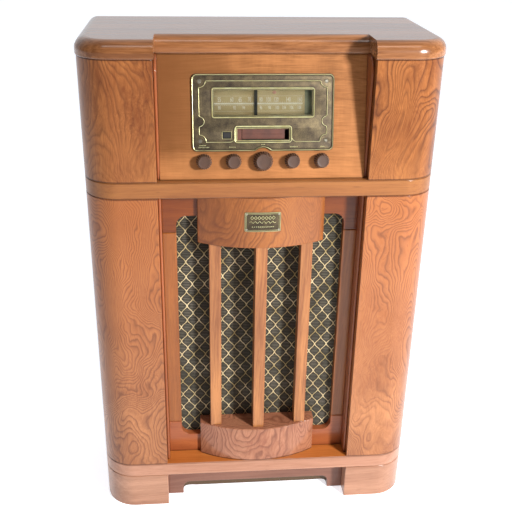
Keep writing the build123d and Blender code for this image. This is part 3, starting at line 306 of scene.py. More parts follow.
def burl_wood(name, light, middle, dark, shift, rings, density=0.0, painted_height_shade=0.0, figure=0.72):
    """Swirled veneer: fine contour lines of a warped field that crowd together and fade out.

    More rings make the lines closer, density leaves fewer places plain, figure is how dark the
    lines are, and the painted height shade is how far the wood is painted a darker amber towards
    the top, leaving it paler and pinker below: painted light from the floor.
    """
    shade = Shade(name, **VARNISH)
    base = shade.stretch((1.0, 1.0, 0.55), shift=shift)
    place = base
    for scale, roughness, reach in ((7.0, 0.55, (0.17, 0.17, 0.2)), (24.0, 0.5, (0.03, 0.03, 0.03))):
        warp = shade.noise(base, scale, 2.0, roughness, colour=True)
        warp = shade.vectors("SUBTRACT", warp, (0.5, 0.5, 0.5))
        place = shade.vectors("ADD", place, shade.vectors("MULTIPLY", warp, reach))
    field = shade.noise(place, 4.6, 1.5, 0.45, 0.3)
    ragged = shade.noise(base, 90.0, 3.0, 0.6)
    field = shade.plus(field, shade.times(ragged, 0.004))
    turn = shade.maths("FRACT", shade.times(field, rings))
    stops = ((0.0, 0.5), (0.14, 0.0), (0.45, 0.08), (0.75, 0.5), (0.9, 1.0), (1.0, 0.5))
    line = shade.ramp(turn, *((position, (grey, grey, grey, 1)) for position, grey in stops))
    fade = shade.fit(shade.noise(base, 6.0, 2.0), 0.44 - density, 0.62 - density, 0.22, 0.95)
    line = shade.times(line, fade)
    fibres = shade.noise(shade.stretch((1, 1, 0.10), place), 330.0, 4.0, 0.65)
    blotch = shade.noise(base, 11.0, 4.0, 0.6)
    tone = shade.weigh((blotch, 0.6), (fibres, 0.4))
    colour = shade.mix(shade.fit(tone, 0.36, 0.64), middle, light)
    # Painted light and shade by height: darker amber above, paler and pinker towards the floor.
    if painted_height_shade:
        amber = tuple(c * tint for c, tint in zip(light, (0.86, 0.66, 0.4))) + (1,)
        colour = shade.mix(shade.fit(shade.axis(2), 0.2, 0.55, 0.0, painted_height_shade), colour, amber)
    colour = shade.mix(shade.times(line, figure), colour, dark)
    pores = shade.fit(shade.noise(shade.stretch((1, 1, 0.16), place), 800.0, 2.0), 0.60, 0.76)
    colour = shade.mix(shade.times(pores, 0.35), colour, dark)
    # Painted shade and stain along the belt joints.
    colour = shade.shaded_joint_lines(colour, scaled(dark, 0.5))
    roughness = shade.fit(fibres, 0.2, 0.8, 0.26, 0.4)
    height = shade.maths("SUBTRACT", fibres, shade.plus(line, pores))
    return shade.finish(colour, roughness, shade.bump(height, GRAIN_DEPTH, 0.3))


def moulded(name, colour, mottle, roughness=0.45, speckle=0.3, grit=600.0, grime_and_shade=None, **constants):
    """Moulded or painted surface: slight mottling, fine grit and uneven gloss.

    Given a notch colour, its notches are darkened with it, as dirt and painted shade, and the
    tips between them are painted pale, as rubbed wear and a painted highlight.
    """
    shade = Shade(name, **constants)
    cloud = shade.noise(shade.place, 60.0, 3.0, 0.6)
    grain = shade.noise(shade.place, grit, 3.0, 0.6)
    tint = shade.mix(shade.fit(cloud, 0.3, 0.7), colour, mottle)
    tint = shade.mix(shade.fit(grain, 0.45, 0.8, 0.0, speckle), tint, mottle)
    if grime_and_shade is not None:
        relief = shade.relief()
        # Tips painted pale: rubbed wear and a painted highlight on the teeth.
        tint = shade.mix(shade.fit(relief, 0.03, 0.18, 0.9, 0.0), tint, scaled(colour, 2.8))
        # Notches darkened: dirt and painted shade.
        tint = shade.mix(shade.fit(relief, 0.35, 0.9), tint, grime_and_shade)
    rough = shade.fit(shade.plus(cloud, grain), 0.6, 1.4, roughness - 0.07, roughness + 0.1)
    return shade.finish(tint, rough, shade.bump(grain, 0.06 * MM, 0.4))


def metal(name, colour, tarnish, roughness=0.35, brushing=(1, 1, 1), amount=0.5):
    """Metal with patches of tarnish and a fine directional finish."""
    shade = Shade(name, Metallic=1.0)
    patches = shade.noise(shade.place, 110.0, 4.0, 0.65)
    marks = shade.noise(shade.stretch(brushing), 1500.0, 3.0, 0.6)
    tint = shade.mix(shade.fit(patches, 0.42, 0.66, 0.0, amount), colour, tarnish)
    rough = shade.fit(shade.plus(patches, marks), 0.7, 1.3, roughness - 0.08, roughness + 0.12)
    return shade.finish(tint, rough, shade.bump(marks, 0.04 * MM, 0.4))


def aged_brass():
    """Antique brass: dark patina in the field, rubbed bright where the relief stands up."""
    shade = Shade("antique_brass", Metallic=0.75)
    relief = shade.relief()
    patches = shade.noise(shade.place, 60.0, 4.0, 0.62)
    stipple = shade.noise(shade.place, 1100.0, 2.0, 0.6)
    mottle = shade.fit(shade.weigh((patches, 0.7), (stipple, 0.5)), 0.42, 0.78)
    patina = ((0.0, rgb(56, 47, 40)), (0.45, rgb(84, 73, 56)), (1.0, rgb(116, 102, 75)))
    field = shade.ramp(mottle, *patina)
    bright = shade.mix(shade.fit(patches, 0.35, 0.7), rgb(226, 222, 168), rgb(190, 180, 122))
    worn = shade.fit(relief, 0.5, 0.9)
    colour = shade.mix(worn, field, bright)
    # Dark band at the foot of raised parts and on the plate's outer wall: patina in the hollows, and a
    # painted contact shadow round the plate.
    patina_and_shadow = shade.fit(relief, 0.02, 0.35, 0.0, 1.0)
    patina_and_shadow = shade.times(patina_and_shadow, shade.fit(relief, 0.35, 0.6, 1.0, 0.0))
    colour = shade.mix(shade.times(patina_and_shadow, 0.7), colour, rgb(48, 40, 30))
    rough = shade.fit(worn, 0.0, 1.0, 0.5, 0.3)
    return shade.finish(colour, rough, shade.bump(stipple, 0.1 * MM, 0.55))


def grille_weave():
    """Gold ogee lattice on black cloth; pale weft threads show in each dark cell; painted sheen brightens
    both in patches.
    """
    shade = Shade("grille_weave", Specular_IOR_Level=0.2, Sheen_Weight=0.1, Sheen_Roughness=0.5)
    cell_width, cell_height = 22.5 * MM, 30.5 * MM
    thread, pick_rise = 0.62 * MM, 3.3 * MM
    ripple = shade.fit(shade.noise(shade.place, 16.0, 2.0), 0.2, 0.8, -0.04, 0.04)
    across = shade.plus(shade.maths("DIVIDE", shade.axis(0), cell_width), ripple)
    upward = shade.maths("DIVIDE", shade.axis(2), cell_height)
    swing = shade.times(shade.maths("SINE", shade.times(upward, 4 * pi)), 0.034)
    lines = []
    for sign in (1.0, -1.0):
        skew = shade.plus(across, shade.times(upward, sign))
        skew = shade.plus(skew, shade.times(swing, -sign))
        lines.append(shade.maths("PINGPONG", skew, 0.5))
    nearest = shade.maths("MINIMUM", lines[0], lines[1])
    rough_edge = shade.fit(shade.noise(shade.place, 420.0, 2.0), 0.3, 0.7, -0.012, 0.012)
    gold_line = shade.fit(shade.plus(nearest, rough_edge), 0.022, 0.062, 1.0, 0.0)
    warp, weft, pick = (
        shade.maths("SINE", shade.times(shade.axis(number), 2 * pi / pitch))
        for number, pitch in ((0, thread), (2, thread), (2, pick_rise))
    )
    weave = shade.fit(shade.times(warp, weft), -0.6, 0.6)
    # Broad patches of painted sheen on the cloth.
    sheen_patch = shade.fit(shade.noise(shade.place, 26.0, 2.0), 0.4, 0.65, 0.35, 1.0)
    centre = shade.fit(shade.times(lines[0], lines[1]), 0.01, 0.08, 0.3, 1.0)
    pale = shade.times(shade.fit(pick, 0.0, 0.9), shade.times(centre, sheen_patch))
    black = shade.mix(shade.fit(weave, 0.0, 1.0), rgb(28, 26, 20), rgb(50, 47, 38))
    black = shade.mix(pale, black, rgb(122, 115, 102))
    # Painted sheen: the lattice is olive where unlit and cream where the sheen is painted.
    painted_sheen = shade.fit(sheen_patch, 0.35, 1.0, 0.1, 0.95)
    gold = shade.mix(painted_sheen, rgb(150, 128, 74), rgb(242, 222, 176))
    gold = shade.mix(shade.fit(weave, 0.0, 0.5, 0.5, 0.0), gold, rgb(92, 74, 38))
    colour = shade.mix(gold_line, black, gold)
    rough = shade.fit(gold_line, 0.0, 1.0, 0.85, 0.5)
    height = shade.plus(weave, shade.times(gold_line, 1.2))
    return shade.finish(colour, rough, shade.bump(height, 0.25 * MM, 0.6))


def dial_print():
    """Cream dial scale, a little darker and browner towards its ends."""
    shade = Shade("dial_print", Roughness=0.55)
    cloud = shade.noise(shade.place, 22.0, 3.0)
    edge = shade.maths("ABSOLUTE", shade.axis(0))
    colour = shade.mix(shade.fit(cloud, 0.3, 0.7), rgb(205, 186, 140), rgb(186, 162, 112))
    colour = shade.mix(shade.fit(edge, 0.04, 0.09, 0.0, 0.35), colour, rgb(150, 128, 84))
    grain = shade.noise(shade.place, 900.0, 2.0)
    return shade.finish(colour, shade.fit(grain, 0.3, 0.7, 0.5, 0.62), shade.bump(grain, 0.04 * MM, 0.3))


def clear_glass():
    """Clear dial window with faint waviness."""
    shade = Shade("clear_glass", Transmission_Weight=1.0, IOR=1.33)
    shade.shader.inputs["Base Color"].default_value = (0.97, 0.98, 0.95, 1)
    smear = shade.noise(shade.place, 30.0, 3.0)
    return shade.finish(None, shade.fit(smear, 0.3, 0.7, 0.0, 0.03), shade.bump(smear, 0.2 * MM, 0.05))


def circuit():
    """Green lacquered board with paler tracks."""
    shade = Shade("circuit_board", Roughness=0.4)
    inputs = {"Vector": shade.place, "Scale": 160.0}
    cells = shade.add("ShaderNodeTexVoronoi", inputs, distance="MANHATTAN")
    tracks = shade.fit(cells.outputs["Distance"], 0.25, 0.32)
    colour = shade.mix(tracks, rgb(30, 88, 44), rgb(74, 128, 64))
    return shade.finish(colour, None, shade.bump(tracks, 0.1 * MM))


def hardboard():
    """Pressed brown fibreboard with a fine fibrous face."""
    shade = Shade("hardboard", Specular_IOR_Level=0.25)
    fibres = shade.noise(shade.stretch((1, 1, 1.6)), 420.0, 5.0, 0.7, 0.6)
    cloud = shade.noise(shade.place, 9.0, 3.0)
    colour = shade.mix(shade.fit(fibres, 0.3, 0.7), rgb(74, 50, 32), rgb(116, 82, 54))
    colour = shade.mix(shade.fit(cloud, 0.3, 0.7, 0.0, 0.4), colour, rgb(92, 62, 40))
    return shade.finish(colour, shade.fit(fibres, 0.2, 0.8, 0.6, 0.85), shade.bump(fibres, 0.2 * MM, 0.5))


def cone_paper():
    """Black pressed paper with a felted face."""
    shade = Shade("cone_paper", Roughness=0.9, Specular_IOR_Level=0.2)
    felt = shade.noise(shade.place, 500.0, 5.0, 0.7)
    colour = shade.mix(felt, rgb(24, 24, 25), rgb(52, 50, 48))
    return shade.finish(colour, None, shade.bump(felt, 0.2 * MM, 0.6))


# Each finish: name, light, dark, direction of the grain, shift, contrast, gloss and varnish.
STRAIGHT = {
    "top": ("top_wood", (176, 118, 74), (112, 68, 38), "X", (0, 0, 0), 1.5, 0.26, POLISH),
    "foot": ("foot_wood", (186, 138, 110), (144, 98, 74), "X", (0.8, 0.2, 0.3)),
    "belt": ("belt_wood", (170, 112, 60), (128, 76, 40), "X", (0.4, 0.2, 0.1), 0.9),
    "base": ("base_wood", (197, 146, 119), (153, 103, 77), "X", (0.1, 0.6, 0.1)),
    # ledge: the base board's top face painted brighter and deeper, painted light from above.
    "ledge": ("ledge_wood", (204, 126, 60), (168, 92, 40), "X", (0.1, 0.6, 0.1), 0.9),
    "upright": ("upright_wood", (184, 122, 72), (128, 76, 44), "Z", (0.3, 0.1, 0.9), 1.7),
    # The top rail's copy of the rail wood is painted darker: painted shade under the waist board.
    "rail_dark": ("dark_rail_wood", (134, 68, 20), (92, 40, 12), "X", (0.5, 0.3, 0.2)),
    "stile": ("stile_wood", (164, 98, 44), (120, 66, 28), "Z", (0.6, 0.2, 0.1), 1.1),
    "rail": ("rail_wood", (172, 98, 56), (136, 70, 38), "X", (0.5, 0.3, 0.2)),
    # The apron wood is darkened: painted shade under the base board's overhang.
    "apron": ("apron_wood", (138, 96, 78), (112, 72, 57), "X", (0.5, 0.8, 0.2)),
    "liner": ("liner_wood", (168, 96, 56), (128, 68, 38), "Z", (0.9, 0.4, 0.2)),
    "raw": ("unfinished_board", (176, 142, 98), (140, 106, 70), "X", (0.2, 0.9, 0.5), 0.8, 0.7),
    # The backing board is the unfinished board painted darker: painted shade behind the apron.
    "backing": ("backing_board", (96, 72, 46), (70, 52, 32), "X", (0.6, 0.9, 0.1), 0.8, 0.6),
}
# Each finish: name, light, middle, dark, shift, rings, density, painted height shade and figure.
SWIRLED = {
    "burl": ("burl_veneer", (168, 106, 56), (120, 66, 32), (70, 32, 18),
             (0.35, 0.15, 0.4), 60.0, 0.09, 0.0, 0.85),
    # burl_low is the burl painted paler and pinker: painted floor light on the lower pillars.
    "burl_low": ("burl_veneer_low", (182, 120, 76), (134, 78, 44), (88, 44, 28),
                 (0.9, 0.3, 0.65), 92.0, 0.10, 0.7, 0.64),
    "bow": ("bow_veneer", (162, 98, 46), (126, 70, 32), (88, 43, 24),
            (0.7, 0, 0.3), 60.0, 0.0, 0.0, 0.66),
    # bow_low is the bow veneer painted paler and pinker: painted floor light on the lower bow.
    "bow_low": ("bow_veneer_low", (184, 128, 96), (142, 86, 62), (98, 52, 36),
                (0.2, 0.5, 0.9), 84.0, 0.10),
}
finishes = {
    "panel": panel_wood(rgb(186, 124, 76), rgb(112, 70, 38)),
    "brass": aged_brass(),
    "steel": metal("plated_steel", rgb(188, 190, 192), rgb(128, 126, 120), 0.34),
    "screw": metal("screw_steel", rgb(196, 190, 172), rgb(92, 84, 72), 0.34, amount=0.55),
    "black_steel": metal("black_steel", rgb(52, 52, 54), rgb(30, 30, 32), 0.42),
    "turned": metal("turned_steel", rgb(196, 196, 198), rgb(150, 148, 146), 0.24, (0.2, 1, 1)),
    "aluminium": metal("aluminium", rgb(206, 208, 210), rgb(170, 172, 174), 0.34),
    "core": moulded("core_steel", rgb(52, 46, 44), rgb(36, 32, 30), 0.5, Metallic=0.4),
    # Its notch colour darkens the knobs' notches: dirt and painted shade.
    "bakelite": moulded("brown_bakelite", rgb(86, 60, 46), rgb(66, 45, 34), 0.42, 0.35,
                        grime_and_shade=rgb(22, 13, 9)),
    "flap": moulded("flap_plastic", rgb(106, 66, 54), rgb(80, 48, 40), 0.38),
    "black": moulded("black_plastic", rgb(34, 32, 30), rgb(22, 20, 19), 0.45),
    "white": moulded("white_plastic", rgb(224, 220, 208), rgb(204, 198, 184), 0.4, 0.15),
    "ferrite": moulded("ferrite", rgb(58, 56, 56), rgb(38, 36, 36), 0.7),
    "pointer": moulded("pointer_paint", rgb(52, 50, 40), rgb(34, 33, 28), 0.4),
    "mark": moulded("white_print", rgb(238, 234, 214), rgb(214, 208, 184), 0.5, 0.1),
    # Pale pink finish for the disc on the scale: a painted glare.
    "red": moulded("pink_glare", rgb(226, 178, 158), rgb(206, 144, 124), 0.25, 0.1),
    "tray": moulded("tray_paint", rgb(150, 152, 124), rgb(120, 122, 96), 0.5),
    "lamp": moulded("lamp_glass", rgb(228, 216, 184), rgb(206, 190, 150), 0.12, 0.05, Coat_Weight=0.6),
    "cord": moulded("waxed_cord", rgb(196, 180, 138), rgb(160, 142, 100), 0.7, 0.5, 2500.0),
    "cloth": grille_weave(),
    "dial": dial_print(),
    "glass": clear_glass(),
    "circuit": circuit(),
    "hardboard": hardboard(),
    "cone": cone_paper(),
}
for key, (name, light, dark, *rest) in STRAIGHT.items():
    finishes[key] = straight_wood(name, rgb(*light), rgb(*dark), *rest)
for key, (name, light, middle, dark, *rest) in SWIRLED.items():
    finishes[key] = burl_wood(name, rgb(*light), rgb(*middle), rgb(*dark), *rest)


# ---- mesh helpers
WELD = 0.002 * MM  # points nearer than this are one
CREASE = 32  # degrees from which an edge counts as sharp


def add_piece(name, mesh, finish, body="cabinet", replaces=(), place=None, angle=CREASE):
    """Puts a mesh in the scene as a named piece that rides on a body."""
    piece = bpy.data.objects.new(name, mesh)
    show(piece)
    if place is not None:
        piece.matrix_world = place
    names = [finish] if isinstance(finish, str) else finish
    for key in names:
        mesh.materials.append(finishes[key])
    for face in mesh.polygons:
        face.use_smooth = True
    mesh.set_sharp_from_angle(angle=radians(angle))
    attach(piece, body)
    if replaces:
        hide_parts(*replaces)
    return piece


def eased(node, finishes_used, body="cabinet", width=0.8 * MM, choose=None, steps=2,
          clamp=False, cuts=()):
    """A part's shape with its sharp edges rounded over, in place of the part itself.

    Faces are divided at the places named in cuts, so that their colour can change there.
    """
    shape = bmesh.new()
    shape.from_mesh(frame["nodes"][node].data)
    bmesh.ops.remove_doubles(shape, verts=shape.verts, dist=WELD)
    flat = radians(0.4)
    bmesh.ops.dissolve_limit(shape, angle_limit=flat, verts=shape.verts, edges=shape.edges)
    for x in cuts:
        parts = list(shape.verts) + list(shape.edges) + list(shape.faces)
        bmesh.ops.bisect_plane(shape, geom=parts, plane_co=(x, 0, 0), plane_no=(1, 0, 0))
    shape.normal_update()
    if choose is not None:
        for face in shape.faces:
            face.material_index = choose(face.calc_center_median(), face.normal)
    mesh = bpy.data.meshes.new(node + "_finish")
    shape.to_mesh(mesh)
    shape.free()
    piece = add_piece(node + "_finish", mesh, finishes_used, body, [node])
    rounding = piece.modifiers.new("rounding", "BEVEL")
    rounding.width = width
    rounding.segments = steps
    rounding.limit_method = "ANGLE"
    rounding.angle_limit = radians(CREASE)
    rounding.use_clamp_overlap = clamp
    shading = piece.modifiers.new("shading", "WEIGHTED_NORMAL")
    shading.keep_sharp = True
    return piece


# ---- cabinet
def veneered(low, high):
    """Chooses raw board for the faces of a shell that aren't seen from outside."""
    outside = 1 if low.x + high.x > 0 else -1

    def choose(centre, normal):
        inner_face = normal.x * outside < -0.5 and abs(centre.x) > abs(cabinet_low.x) - 0.03
        return 1 if inner_face or normal.y > 0.2 else 0

    return choose


def lit_ledge_face(centre, normal):
    """The base board's upper face gets a brighter, deeper orange than its front: painted light on the top
    face.
    """
    return 1 if normal.z > 0.9 else 0


# By slot, each board's finish and its rounding in millimetres.
BOARDS = {
    "plain_wood": (
        ("top_board", "top", 0.8), ("instrument_panel", "panel", 0.8), ("waist_board", "belt", 0.5),
        ("front_apron", "apron", 0.8), ("cheek_liners", "liner", 0.4),
        # The top rail takes the darker copy: painted shade under the waist board.
        ("frame_top_rail", "rail_dark", 0.9), ("frame_bottom_rail", "rail", 0.9),
        ("frame_stiles", "stile", 0.9), ("grille_bars", "upright", 0.6),
    ),
    "burl_veneer": (("upper_bow", "bow", 1.2), ("lower_bow", "bow_low", 0.8)),
    "unfinished_board": (
        ("apron_backing", "backing", 0.8), ("rear_rail", "raw", 0.6), ("rear_cleats", "raw", 0.6),
        ("baffle_board", "raw", 0.6),
    ),
}


def build_cabinet():
    """Every wooden board, its edges eased and each with the grain that its place asks for."""
    for side in ("left", "right"):
        for level, veneer in (("upper", "burl"), ("lower", "burl_low")):
            node = f"{level}_{side}_side"
            eased(node, [veneer, "raw"], choose=veneered(*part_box(node)))
        eased(f"{side}_foot", "foot", width=1.2 * MM)
    eased("base_board", ["base", "ledge"], choose=lit_ledge_face, width=0.5 * MM)
    for slot, boards in BOARDS.items():
        for node, finish, width in boards:
            clamp = node in ("top_board", "lower_bow")
            eased(node, finish, width=width * MM, clamp=clamp)
    eased("rear_cover", "hardboard", width=0.4 * MM, steps=1)


build_cabinet()


# ---- outlines and relief
def arc(centre, radius, start, end, steps=12):
    """Points round part of a circle, its angles in degrees."""
    angles = [radians(start + (end - start) * step / steps) for step in range(steps + 1)]
    return [Vector((centre[0] + radius * cos(t), centre[1] + radius * sin(t))) for t in angles]


def rounded_rectangle(centre, width, height, radius):
    """Closed outline, anticlockwise."""
    a, b = width / 2 - radius, height / 2 - radius
    points = []
    for x, y, start in ((a, -b, -90), (a, b, 0), (-a, b, 90), (-a, -b, 180)):
        points += arc((centre[0] + x, centre[1] + y), radius, start, start + 90, 8)
    return points


def soften(points, spacing, passes, closed=True):
    """Even points along an outline, with its corners eased."""
    ends = points + [points[0]] if closed else points
    even = [ends[0]]
    for first, second in zip(ends, ends[1:]):
        count = max(1, ceil((second - first).length / spacing))
        even += [first.lerp(second, step / count) for step in range(1, count + 1)]
    if closed:
        even.pop()
    for _ in range(passes):
        last = len(even) - 1
        even = [
            point if not closed and index in (0, last)
            else point / 2 + (even[index - 1] + even[(index + 1) % len(even)]) / 4
            for index, point in enumerate(even)
        ]
    return even


def sweep(shape, outline, profile, base, closed=True):
    """Sweeps a closed cross-section along an outline.

    The profile's rows are how far inward, how high and how worn.
    """
    wear_layer = shape.verts.layers.float["relief"]
    count = len(outline)
    rows = []
    for index, point in enumerate(outline):
        before = point - outline[index - 1] if closed or index else outline[1] - point
        after = outline[(index + 1) % count] - point if closed or index < count - 1 else before
        before, after = before.normalized(), after.normalized()
        inner = Vector((-before.y - after.y, before.x + after.x)).normalized()
        inner /= max(0.5, inner.dot(Vector((-before.y, before.x))))
        row = []
        for offset, height, wear in profile:
            place = point + inner * offset
            vertex = shape.verts.new((place.x, place.y, base + height))
            vertex[wear_layer] = wear
            row.append(vertex)
        rows.append(row)
    for first, second in zip(rows, rows[1:] + rows[:1] if closed else rows[1:]):
        for step in range(len(profile)):
            following = (step + 1) % len(profile)
            shape.faces.new((first[step], second[step], second[following], first[following]))
    if not closed:
        shape.faces.new(rows[0])
        shape.faces.new(rows[-1][::-1])


def lattice(shape, columns, rows, place_of):
    """Grid of faces. place_of gives a place from the shares of the way across and up."""
    grid = {}
    for i in range(columns + 1):
        for j in range(rows + 1):
            grid[i, j] = shape.verts.new(place_of(i / columns, j / rows))
            if i and j:
                corners = ((i - 1, j - 1), (i, j - 1), (i, j), (i - 1, j))
                shape.faces.new([grid[corner] for corner in corners])
    return grid.values()


def prism(shape, outline, low, high):
    """Straight-sided solid on an outline. Returns the vertices of its upper face."""
    lower = [shape.verts.new((point.x, point.y, low)) for point in outline]
    upper = [shape.verts.new((point.x, point.y, high)) for point in outline]
    for step in range(len(outline)):
        following = (step + 1) % len(outline)
        shape.faces.new((lower[step], lower[following], upper[following], upper[step]))
    shape.faces.new(upper)
    shape.faces.new(lower[::-1])
    return upper


def in_mm(rows):
    """Profile whose offsets and heights were given in millimetres."""
    return [(offset * MM, height * MM, wear) for offset, height, wear in rows]


def bead(width, height, sink=0.3 * MM):
    """Cross-section of a rounded raised line, centred on its outline."""
    half = width / 2
    skirt = half + 0.7 * MM
    side = [(skirt, -sink, 0.0), (skirt, 0.02 * MM, 0.2), (half, 0.12 * height, 0.3)]
    side.append((0.62 * half, 0.8 * height, 0.9))
    other = [(-offset, rise, wear) for offset, rise, wear in side]
    return [*other, (0.0, height, 1.0), *side[::-1]]


def curve_mesh(data):
    """Mesh of a curve or of lettering, in place of it."""
    holder = bpy.data.objects.new("outline", data)
    mesh = bpy.data.meshes.new_from_object(holder)
    bpy.data.objects.remove(holder)
    bpy.data.curves.remove(data)
    return mesh


def sheet_with_holes(outline, holes, thickness, bevel):
    """Flat plate with a slightly rounded rim, cut by its holes."""
    data = bpy.data.curves.new("outline", "CURVE")
    data.dimensions = "2D"
    data.fill_mode = "BOTH"
    data.extrude = thickness / 2 - bevel
    data.bevel_depth = bevel
    data.offset = -bevel
    for loop in [outline, *holes]:
        spline = data.splines.new("POLY")
        spline.points.add(len(loop) - 1)
        for point, place in zip(spline.points, loop):
            point.co = (place.x, place.y, 0, 1)
        spline.use_cyclic_u = True
    mesh = curve_mesh(data)
    mesh.transform(Matrix.Translation((0, 0, thickness / 2)))
    return mesh


def relief_shape(mesh=None):
    """An empty or given mesh, ready for swept relief."""
    shape = bmesh.new()
    if mesh is not None:
        shape.from_mesh(mesh)
        bmesh.ops.remove_doubles(shape, verts=shape.verts, dist=0.5 * WELD)
        bpy.data.meshes.remove(mesh)
    shape.verts.layers.float.new("relief")
    return shape


def to_mesh(shape, name):
    """Closes a bmesh into a mesh with its faces turned outwards."""
    bmesh.ops.recalc_face_normals(shape, faces=shape.faces)
    mesh = bpy.data.meshes.new(name)
    shape.to_mesh(mesh)
    shape.free()
    return mesh


# ---- dial plate
BEZEL_WIDTH, BEZEL_HEIGHT = 239.0 * MM, 127.8 * MM
BEZEL_RISE = 112.3 * MM
PLATE = 2.4 * MM
# Each opening: its middle, width, height and the width of its raised frame.
WINDOW = (Vector((0, 128.9 * MM)), 164.5 * MM, 41.2 * MM, 4.5 * MM)
SLOT = (Vector((0, 76.6 * MM)), 87.3 * MM, 18.6 * MM, 5.0 * MM)
BUTTON = (Vector((-61.6 * MM, 75.4 * MM)), 13.6 * MM, 10.6 * MM, 1.6 * MM)
SCREW_X, SCREW_RISES = 106.3 * MM, (66.0 * MM, 164.0 * MM)
ARCH_HALF, ARCH_RISE = 13.0 * MM, 5.8 * MM
# Place across, rise and number of the bars over each knob, in millimetres.
LABELS = (
    (-100.0, 55.4, 8), (-52.0, 55.4, 5), (0.0, 59.6, 3), (52.0, 55.4, 6), (101.0, 55.4, 3),
    (-102.0, 58.6, 5),
)
LABEL_PITCH = 2.3


def bezel_outline():
    """Outer edge of the dial plate, with the arch that clears the tuning knob."""
    low = BEZEL_RISE - BEZEL_HEIGHT / 2
    radius = (ARCH_HALF**2 + ARCH_RISE**2) / (2 * ARCH_RISE)
    reach = degrees(atan2(ARCH_HALF, radius - ARCH_RISE))
    arch = arc((0, low + ARCH_RISE - radius), radius, 90 + reach, 90 - reach, 14)
    corners = rounded_rectangle((0, BEZEL_RISE), BEZEL_WIDTH, BEZEL_HEIGHT, 9.0 * MM)
    return soften(corners + arch, 1.2 * MM, 3)


def inner_line():
    """Raised line inside the border: scooped round the screws, nicked at both sides, and
    stepping up to the frame of the tape slot."""
    side, low = 107.5 * MM, 64.0 * MM
    scoop, nick, nick_rise = 10.0 * MM, 8.3 * MM, 98.2 * MM
    step = Vector((SLOT[1] / 2 + SLOT[3] - 0.4 * MM, 70.0 * MM))
    near, far = SCREW_RISES
    points = [step, Vector((step.x + 0.8 * MM, 68.0 * MM)), Vector((54.0 * MM, low))]
    points += arc((SCREW_X, near), scoop, 191.5, 83.1)
    points += arc((side, nick_rise), nick, 270, 90)
    points += arc((SCREW_X, far), scoop, 276.9, 177.1)
    points += [Vector((-point.x, point.y)) for point in reversed(points)]
    return soften(points, 0.9 * MM, 5, closed=False)


def framed(shape, opening, profile):
    """Raised frame round one of the plate's rectangular openings."""
    middle, width, height, border = opening
    outline = rounded_rectangle(middle, width + 2 * border, height + 2 * border, border + 0.1 * MM)
    sweep(shape, outline, in_mm(profile), PLATE)


def label_marks(shape):
    """Short rows of plain raised bars above the knobs, in place of lettering."""
    wear_layer = shape.verts.layers.float["relief"]
    for x, rise, count in LABELS:
        for index in range(count):
            middle = x + LABEL_PITCH * (index - (count - 1) / 2)
            height = 1.5 if index % 3 else 1.9
            bar = rounded_rectangle((middle * MM, rise * MM), 1.5 * MM, height * MM, 0.3 * MM)
            for vertex in prism(shape, bar, PLATE - 0.2 * MM, PLATE + 0.35 * MM):
                vertex[wear_layer] = 1.0


def build_bezel():
    """Cast brass dial plate with its rim, inner line, frames and marks."""
    outline = bezel_outline()
    holes = []
    for middle, width, height, _ in (WINDOW, SLOT, BUTTON):
        holes.append(rounded_rectangle(middle, width, height, 0.2 * MM)[::-1])
    for x in (-SCREW_X, SCREW_X):
        for rise in SCREW_RISES:
            holes.append(arc((x, rise), 1.95 * MM, 360, 0, 20)[:-1])
    shape = relief_shape(sheet_with_holes(outline, holes, PLATE, 0.15 * MM))
    # The rim's outer wall has a low wear value, so it is painted dark: a painted contact shadow round the
    # plate.
    rim = [
        (0.02, -2.3, 0.2), (0.02, -0.5, 0.2), (0.5, 0.2, 0.3), (0.8, 1.0, 0.5), (1.4, 1.4, 0.82),
        (2.1, 1.2, 0.75), (2.6, 0.5, 0.3), (3.0, 0.06, 0.2), (4.6, 0.03, 0.2), (4.6, -0.3, 0.0),
    ]
    sweep(shape, outline, in_mm(rim), PLATE)
    quiet = [(a, b, 0.78 * wear) for a, b, wear in bead(1.5 * MM, 1.05 * MM)]
    sweep(shape, inner_line(), quiet, PLATE, closed=False)
    framed(shape, WINDOW, (
        (-1.2, -0.3, 0.0), (-1.2, 0.03, 0.2), (0.0, 0.1, 0.3), (0.2, 1.0, 0.9), (0.8, 1.5, 1.0),
        (2.0, 1.4, 1.0), (2.6, 0.9, 0.3), (3.5, 0.2, 0.35), (3.8, 0.2, 0.95), (4.4, -0.3, 1.0),
        (4.49, -1.0, 0.5), (4.49, -2.0, 0.0),
    ))
    framed(shape, SLOT, (
        (-1.2, -0.3, 0.0), (-1.2, 0.03, 0.2), (0.0, 0.1, 0.3), (0.2, 1.0, 0.9), (0.8, 1.3, 1.0),
        (1.7, 1.1, 1.0), (2.1, 0.4, 0.25), (2.8, 0.4, 0.25), (3.2, 1.0, 1.0), (4.2, 0.9, 1.0),
        (4.99, -0.3, 0.8), (4.99, -2.0, 0.0),
    ))
    framed(shape, BUTTON, (
        (0.0, -0.3, 0.0), (0.2, 0.6, 0.5), (0.7, 0.85, 0.7), (1.2, 0.6, 0.6), (1.58, -0.4, 0.2),
    ))
    label_marks(shape)
    mesh = to_mesh(shape, "dial_plate")
    add_piece("dial_plate", mesh, "brass", replaces=["dial_bezel"],
              place=panel_place(0, 0))


